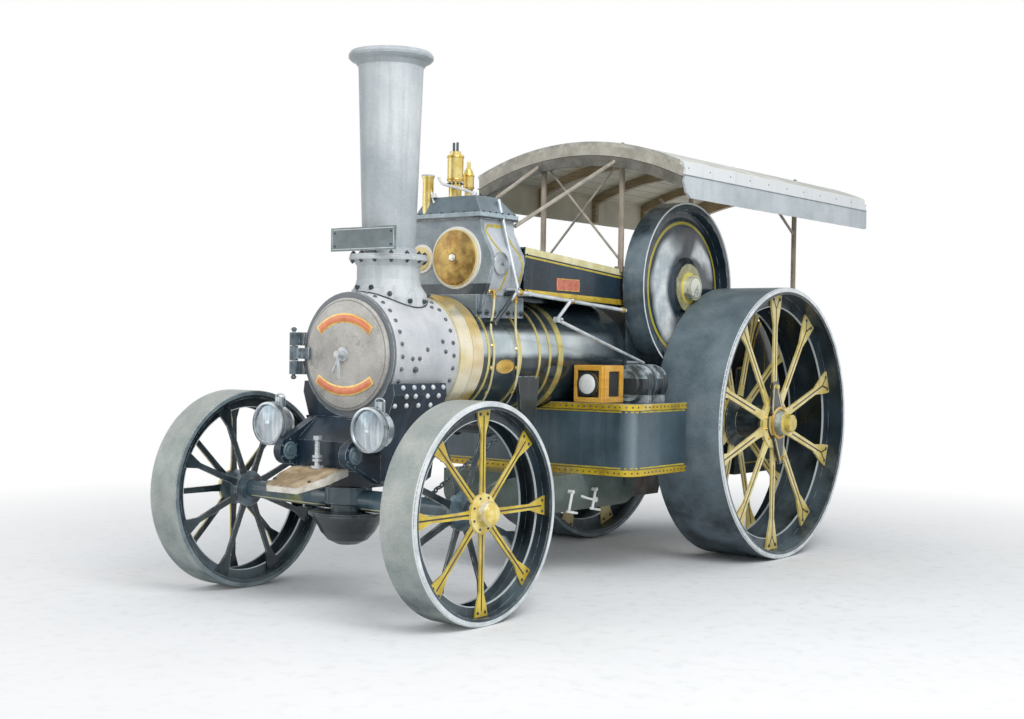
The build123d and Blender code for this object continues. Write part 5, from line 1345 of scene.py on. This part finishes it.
# The canopy: a bowed roof of matchboards, cream underneath and weathered grey on top, on ash ribs and
# turned posts with iron stays. Its pale side boards have rounded ends and one thin moulding.
bow_z, bow_r = 0.862, 2.312
roof = Finish("roof_boards", "faf3de", "e9e0c4", 3.0)
roof_reach = roof.from_axis(roof.x, roof.z, 0, bow_z)
bow = roof.times(roof.maths("ARCTAN2", roof.x, roof.less(roof.z, bow_z)), bow_r)
joint = roof.below(roof.maths("PINGPONG", roof.plus(bow, 5.0), 0.055), 0.0028)
under = roof.below(roof_reach, bow_r + 0.0005)
stains = roof.ramp(roof.noise(1.4, 5, (1, 0.5, 1)), 0.54, 0.66, 0.0, 0.7)
roof.cloud(roof.times(under, stains), "c9c7b8", "a9a99e", 3.0)
roof.lay(roof.times(joint, 0.8), "7d6d52")
roof.cloud(roof.above(roof_reach, 2.3415), "d9dad4", "b9bab2", 3.0)
roof.cloud(roof.before(2.4155), "c3c1b6", "98958a", 9.0)
dress(roof.done(rough=0.6, grain=0.4, bump=0.3, relief=roof.times(joint, -1.5)), "canopy_roof")
side_board = Finish("side_board_paint", "c6cdd0", "aab4b8", 3.0)
side_board.lay(side_board.over(2.902), "e3e6e7")
board_back = side_board.below(side_board.maths("ABSOLUTE", side_board.x), 0.9395)
side_board.cloud(board_back, "e6dfc9", "c9c5b3", 2.0)
dress(side_board.done(rough=0.5, coat=0.15, grain=0.4, worn="f3f4f3"), "canopy_fascia")
bead = Finish("side_board_moulding", "8f989a", "727c7f", 12.0).done(rough=0.5)
board_face = 0.956
bead_run = row((board_face, 2.42, 2.902), (board_face, 5.6114, 2.902), 7)
strips("side_board_mouldings", [mirror(bead_run), bead_run], 0.009, 0.003, bead)
screws = pair(*row((board_face, 2.50, 2.955), (board_face, 5.60, 2.955), 11))
rivets("side_board_screws", screws, 0.006, bead)
ash = Finish("ash_rib_varnish", "b39f80", "94815f", 4.0)
ash_grain = ash.ramp(ash.noise(1.0, 6, (5, 50, 50)), 0.45, 0.60, 0.0, 0.6)
ash.lay(ash_grain, "7f6c4b")
front_beam = ash.before(2.50)
ash.cloud(front_beam, "b9b4a6", "989385", 8.0)
beam_reach = ash.from_axis(ash.x, ash.z, 0, bow_z)
# The front beam's underside is darkened: painted shade.
ash.cloud(ash.times(front_beam, ash.below(beam_reach, 2.236)), "6d6a5f", "4f4c43", 9.0)
ash.lay(ash.times(front_beam, ash.within(beam_reach, 2.234, 2.240)), "3f3b33")
dress(ash.done(rough=0.5, coat=0.1, grain=0.45, bump=0.35), "canopy_ribs")
post = Finish("post_brown_paint", "a99d8c", "857868", 6.0)
dress(post.done(rough=0.45, coat=0.2, grain=0.4, worn="cfc8ba"), "canopy_posts")
stay = Finish("stay_paint", "b8b0a3", "8f8779", 8.0)
dress(stay.done(rough=0.45, grain=0.35), "canopy_stays")
roof_bolts = []
for x, y in ((0.366, 2.520), (0.530, 5.044)):
    rise = sqrt((bow_r + 0.030)**2 - x**2)
    roof_bolts += pair(((x, y, bow_z + rise), (x, 0, rise)))
rivets("roof_post_bolts", roof_bolts, 0.016, bead)


# The studio: a plain pale floor that runs out into a white background, one broad soft lamp high on
# the left, a weaker one on the right, and a plain pale sky. The camera stands at the picture's angle.
floor_mesh = bpy.data.meshes.new("floor")
floor_mesh.from_pydata([(-60, -60, 0), (60, -60, 0), (60, 60, 0), (-60, 60, 0)], [], [(0, 1, 2, 3)])
floor = bpy.data.objects.new("floor", floor_mesh)
bpy.context.scene.collection.objects.link(floor)
pale_floor = Finish("pale_floor", "f7f8f9", "f1f3f4", 0.6)
floor_mesh.materials.append(pale_floor.done(rough=0.9, grain=0.05, bump=0.05))


def seen_directly(tree):
    """1 for the rays that show the background itself: to the camera, in metal and through glass."""
    path = tree.nodes.new("ShaderNodeLightPath")
    total = path.outputs["Is Camera Ray"]
    for kind in ("Is Glossy Ray", "Is Transmission Ray"):
        add = tree.nodes.new("ShaderNodeMath")
        add.operation = "MAXIMUM"
        tree.links.new(total, add.inputs[0])
        tree.links.new(path.outputs[kind], add.inputs[1])
        total = add.outputs[0]
    return total


far_off = pale_floor.ramp(pale_floor.from_axis(pale_floor.x, pale_floor.y, 0, 0), 2.5, 7.5)
blank = pale_floor.add("Emission")
blank.inputs["Color"].default_value = (1, 1, 1, 1)
fade = pale_floor.add("MixShader")
pale_floor.feed(fade.inputs[0], pale_floor.times(far_off, seen_directly(pale_floor.tree)))
pale_floor.feed(fade.inputs[1], pale_floor.shader.outputs[0])
pale_floor.feed(fade.inputs[2], blank.outputs[0])
pale_floor.feed(pale_floor.tree.nodes["Material Output"].inputs["Surface"], fade.outputs[0])

world = bpy.data.worlds.new("studio")
bpy.context.scene.world = world
world.use_nodes = True
sky = world.node_tree
ambient = sky.nodes["Background"]
ambient.inputs["Color"].default_value = (0.93, 0.96, 1.0, 1)
ambient.inputs["Strength"].default_value = 0.62
white = sky.nodes.new("ShaderNodeBackground")
white.inputs["Color"].default_value = (1, 1, 1, 1)
choose = sky.nodes.new("ShaderNodeMixShader")
sky.links.new(seen_directly(sky), choose.inputs[0])
sky.links.new(ambient.outputs[0], choose.inputs[1])
sky.links.new(white.outputs[0], choose.inputs[2])
sky.links.new(choose.outputs[0], sky.nodes["World Output"].inputs["Surface"])


def soft_lamp(name, place, aim, power, size):
    light = bpy.data.lights.new(name, "AREA")
    light.energy = power
    light.size = size
    lamp = bpy.data.objects.new(name, light)
    bpy.context.scene.collection.objects.link(lamp)
    lamp.location = place
    lamp.rotation_euler = (Vector(aim) - Vector(place)).to_track_quat("-Z", "Y").to_euler()


soft_lamp("high_soft_lamp", (7, -5, 8), (0, 0, 1.2), 560, 5)
soft_lamp("low_fill_lamp", (-8, -9, 4), (0, 0, 1.4), 130, 5)

eye = bpy.data.cameras.new("camera")
eye.lens = 49.89
eye.sensor_width = 36
eye.shift_y = 0.0207
camera = bpy.data.objects.new("camera", eye)
bpy.context.scene.collection.objects.link(camera)
yaw, pitch, roll = 0.659, -0.025, 0.015
ahead = Vector((-sin(yaw) * cos(pitch), cos(yaw) * cos(pitch), sin(pitch)))
right = Vector((cos(yaw), sin(yaw), 0))
up = right.cross(ahead)
level = cos(roll) * right + sin(roll) * up
raised = cos(roll) * up - sin(roll) * right
stand = (6.3002, -8.9403, 1.6487)
camera.matrix_world = Matrix([[level[k], raised[k], -ahead[k], stand[k]] for k in range(3)] + [[0, 0, 0, 1]])
bpy.context.scene.camera = camera
bpy.context.scene.view_settings.view_transform = "Standard"
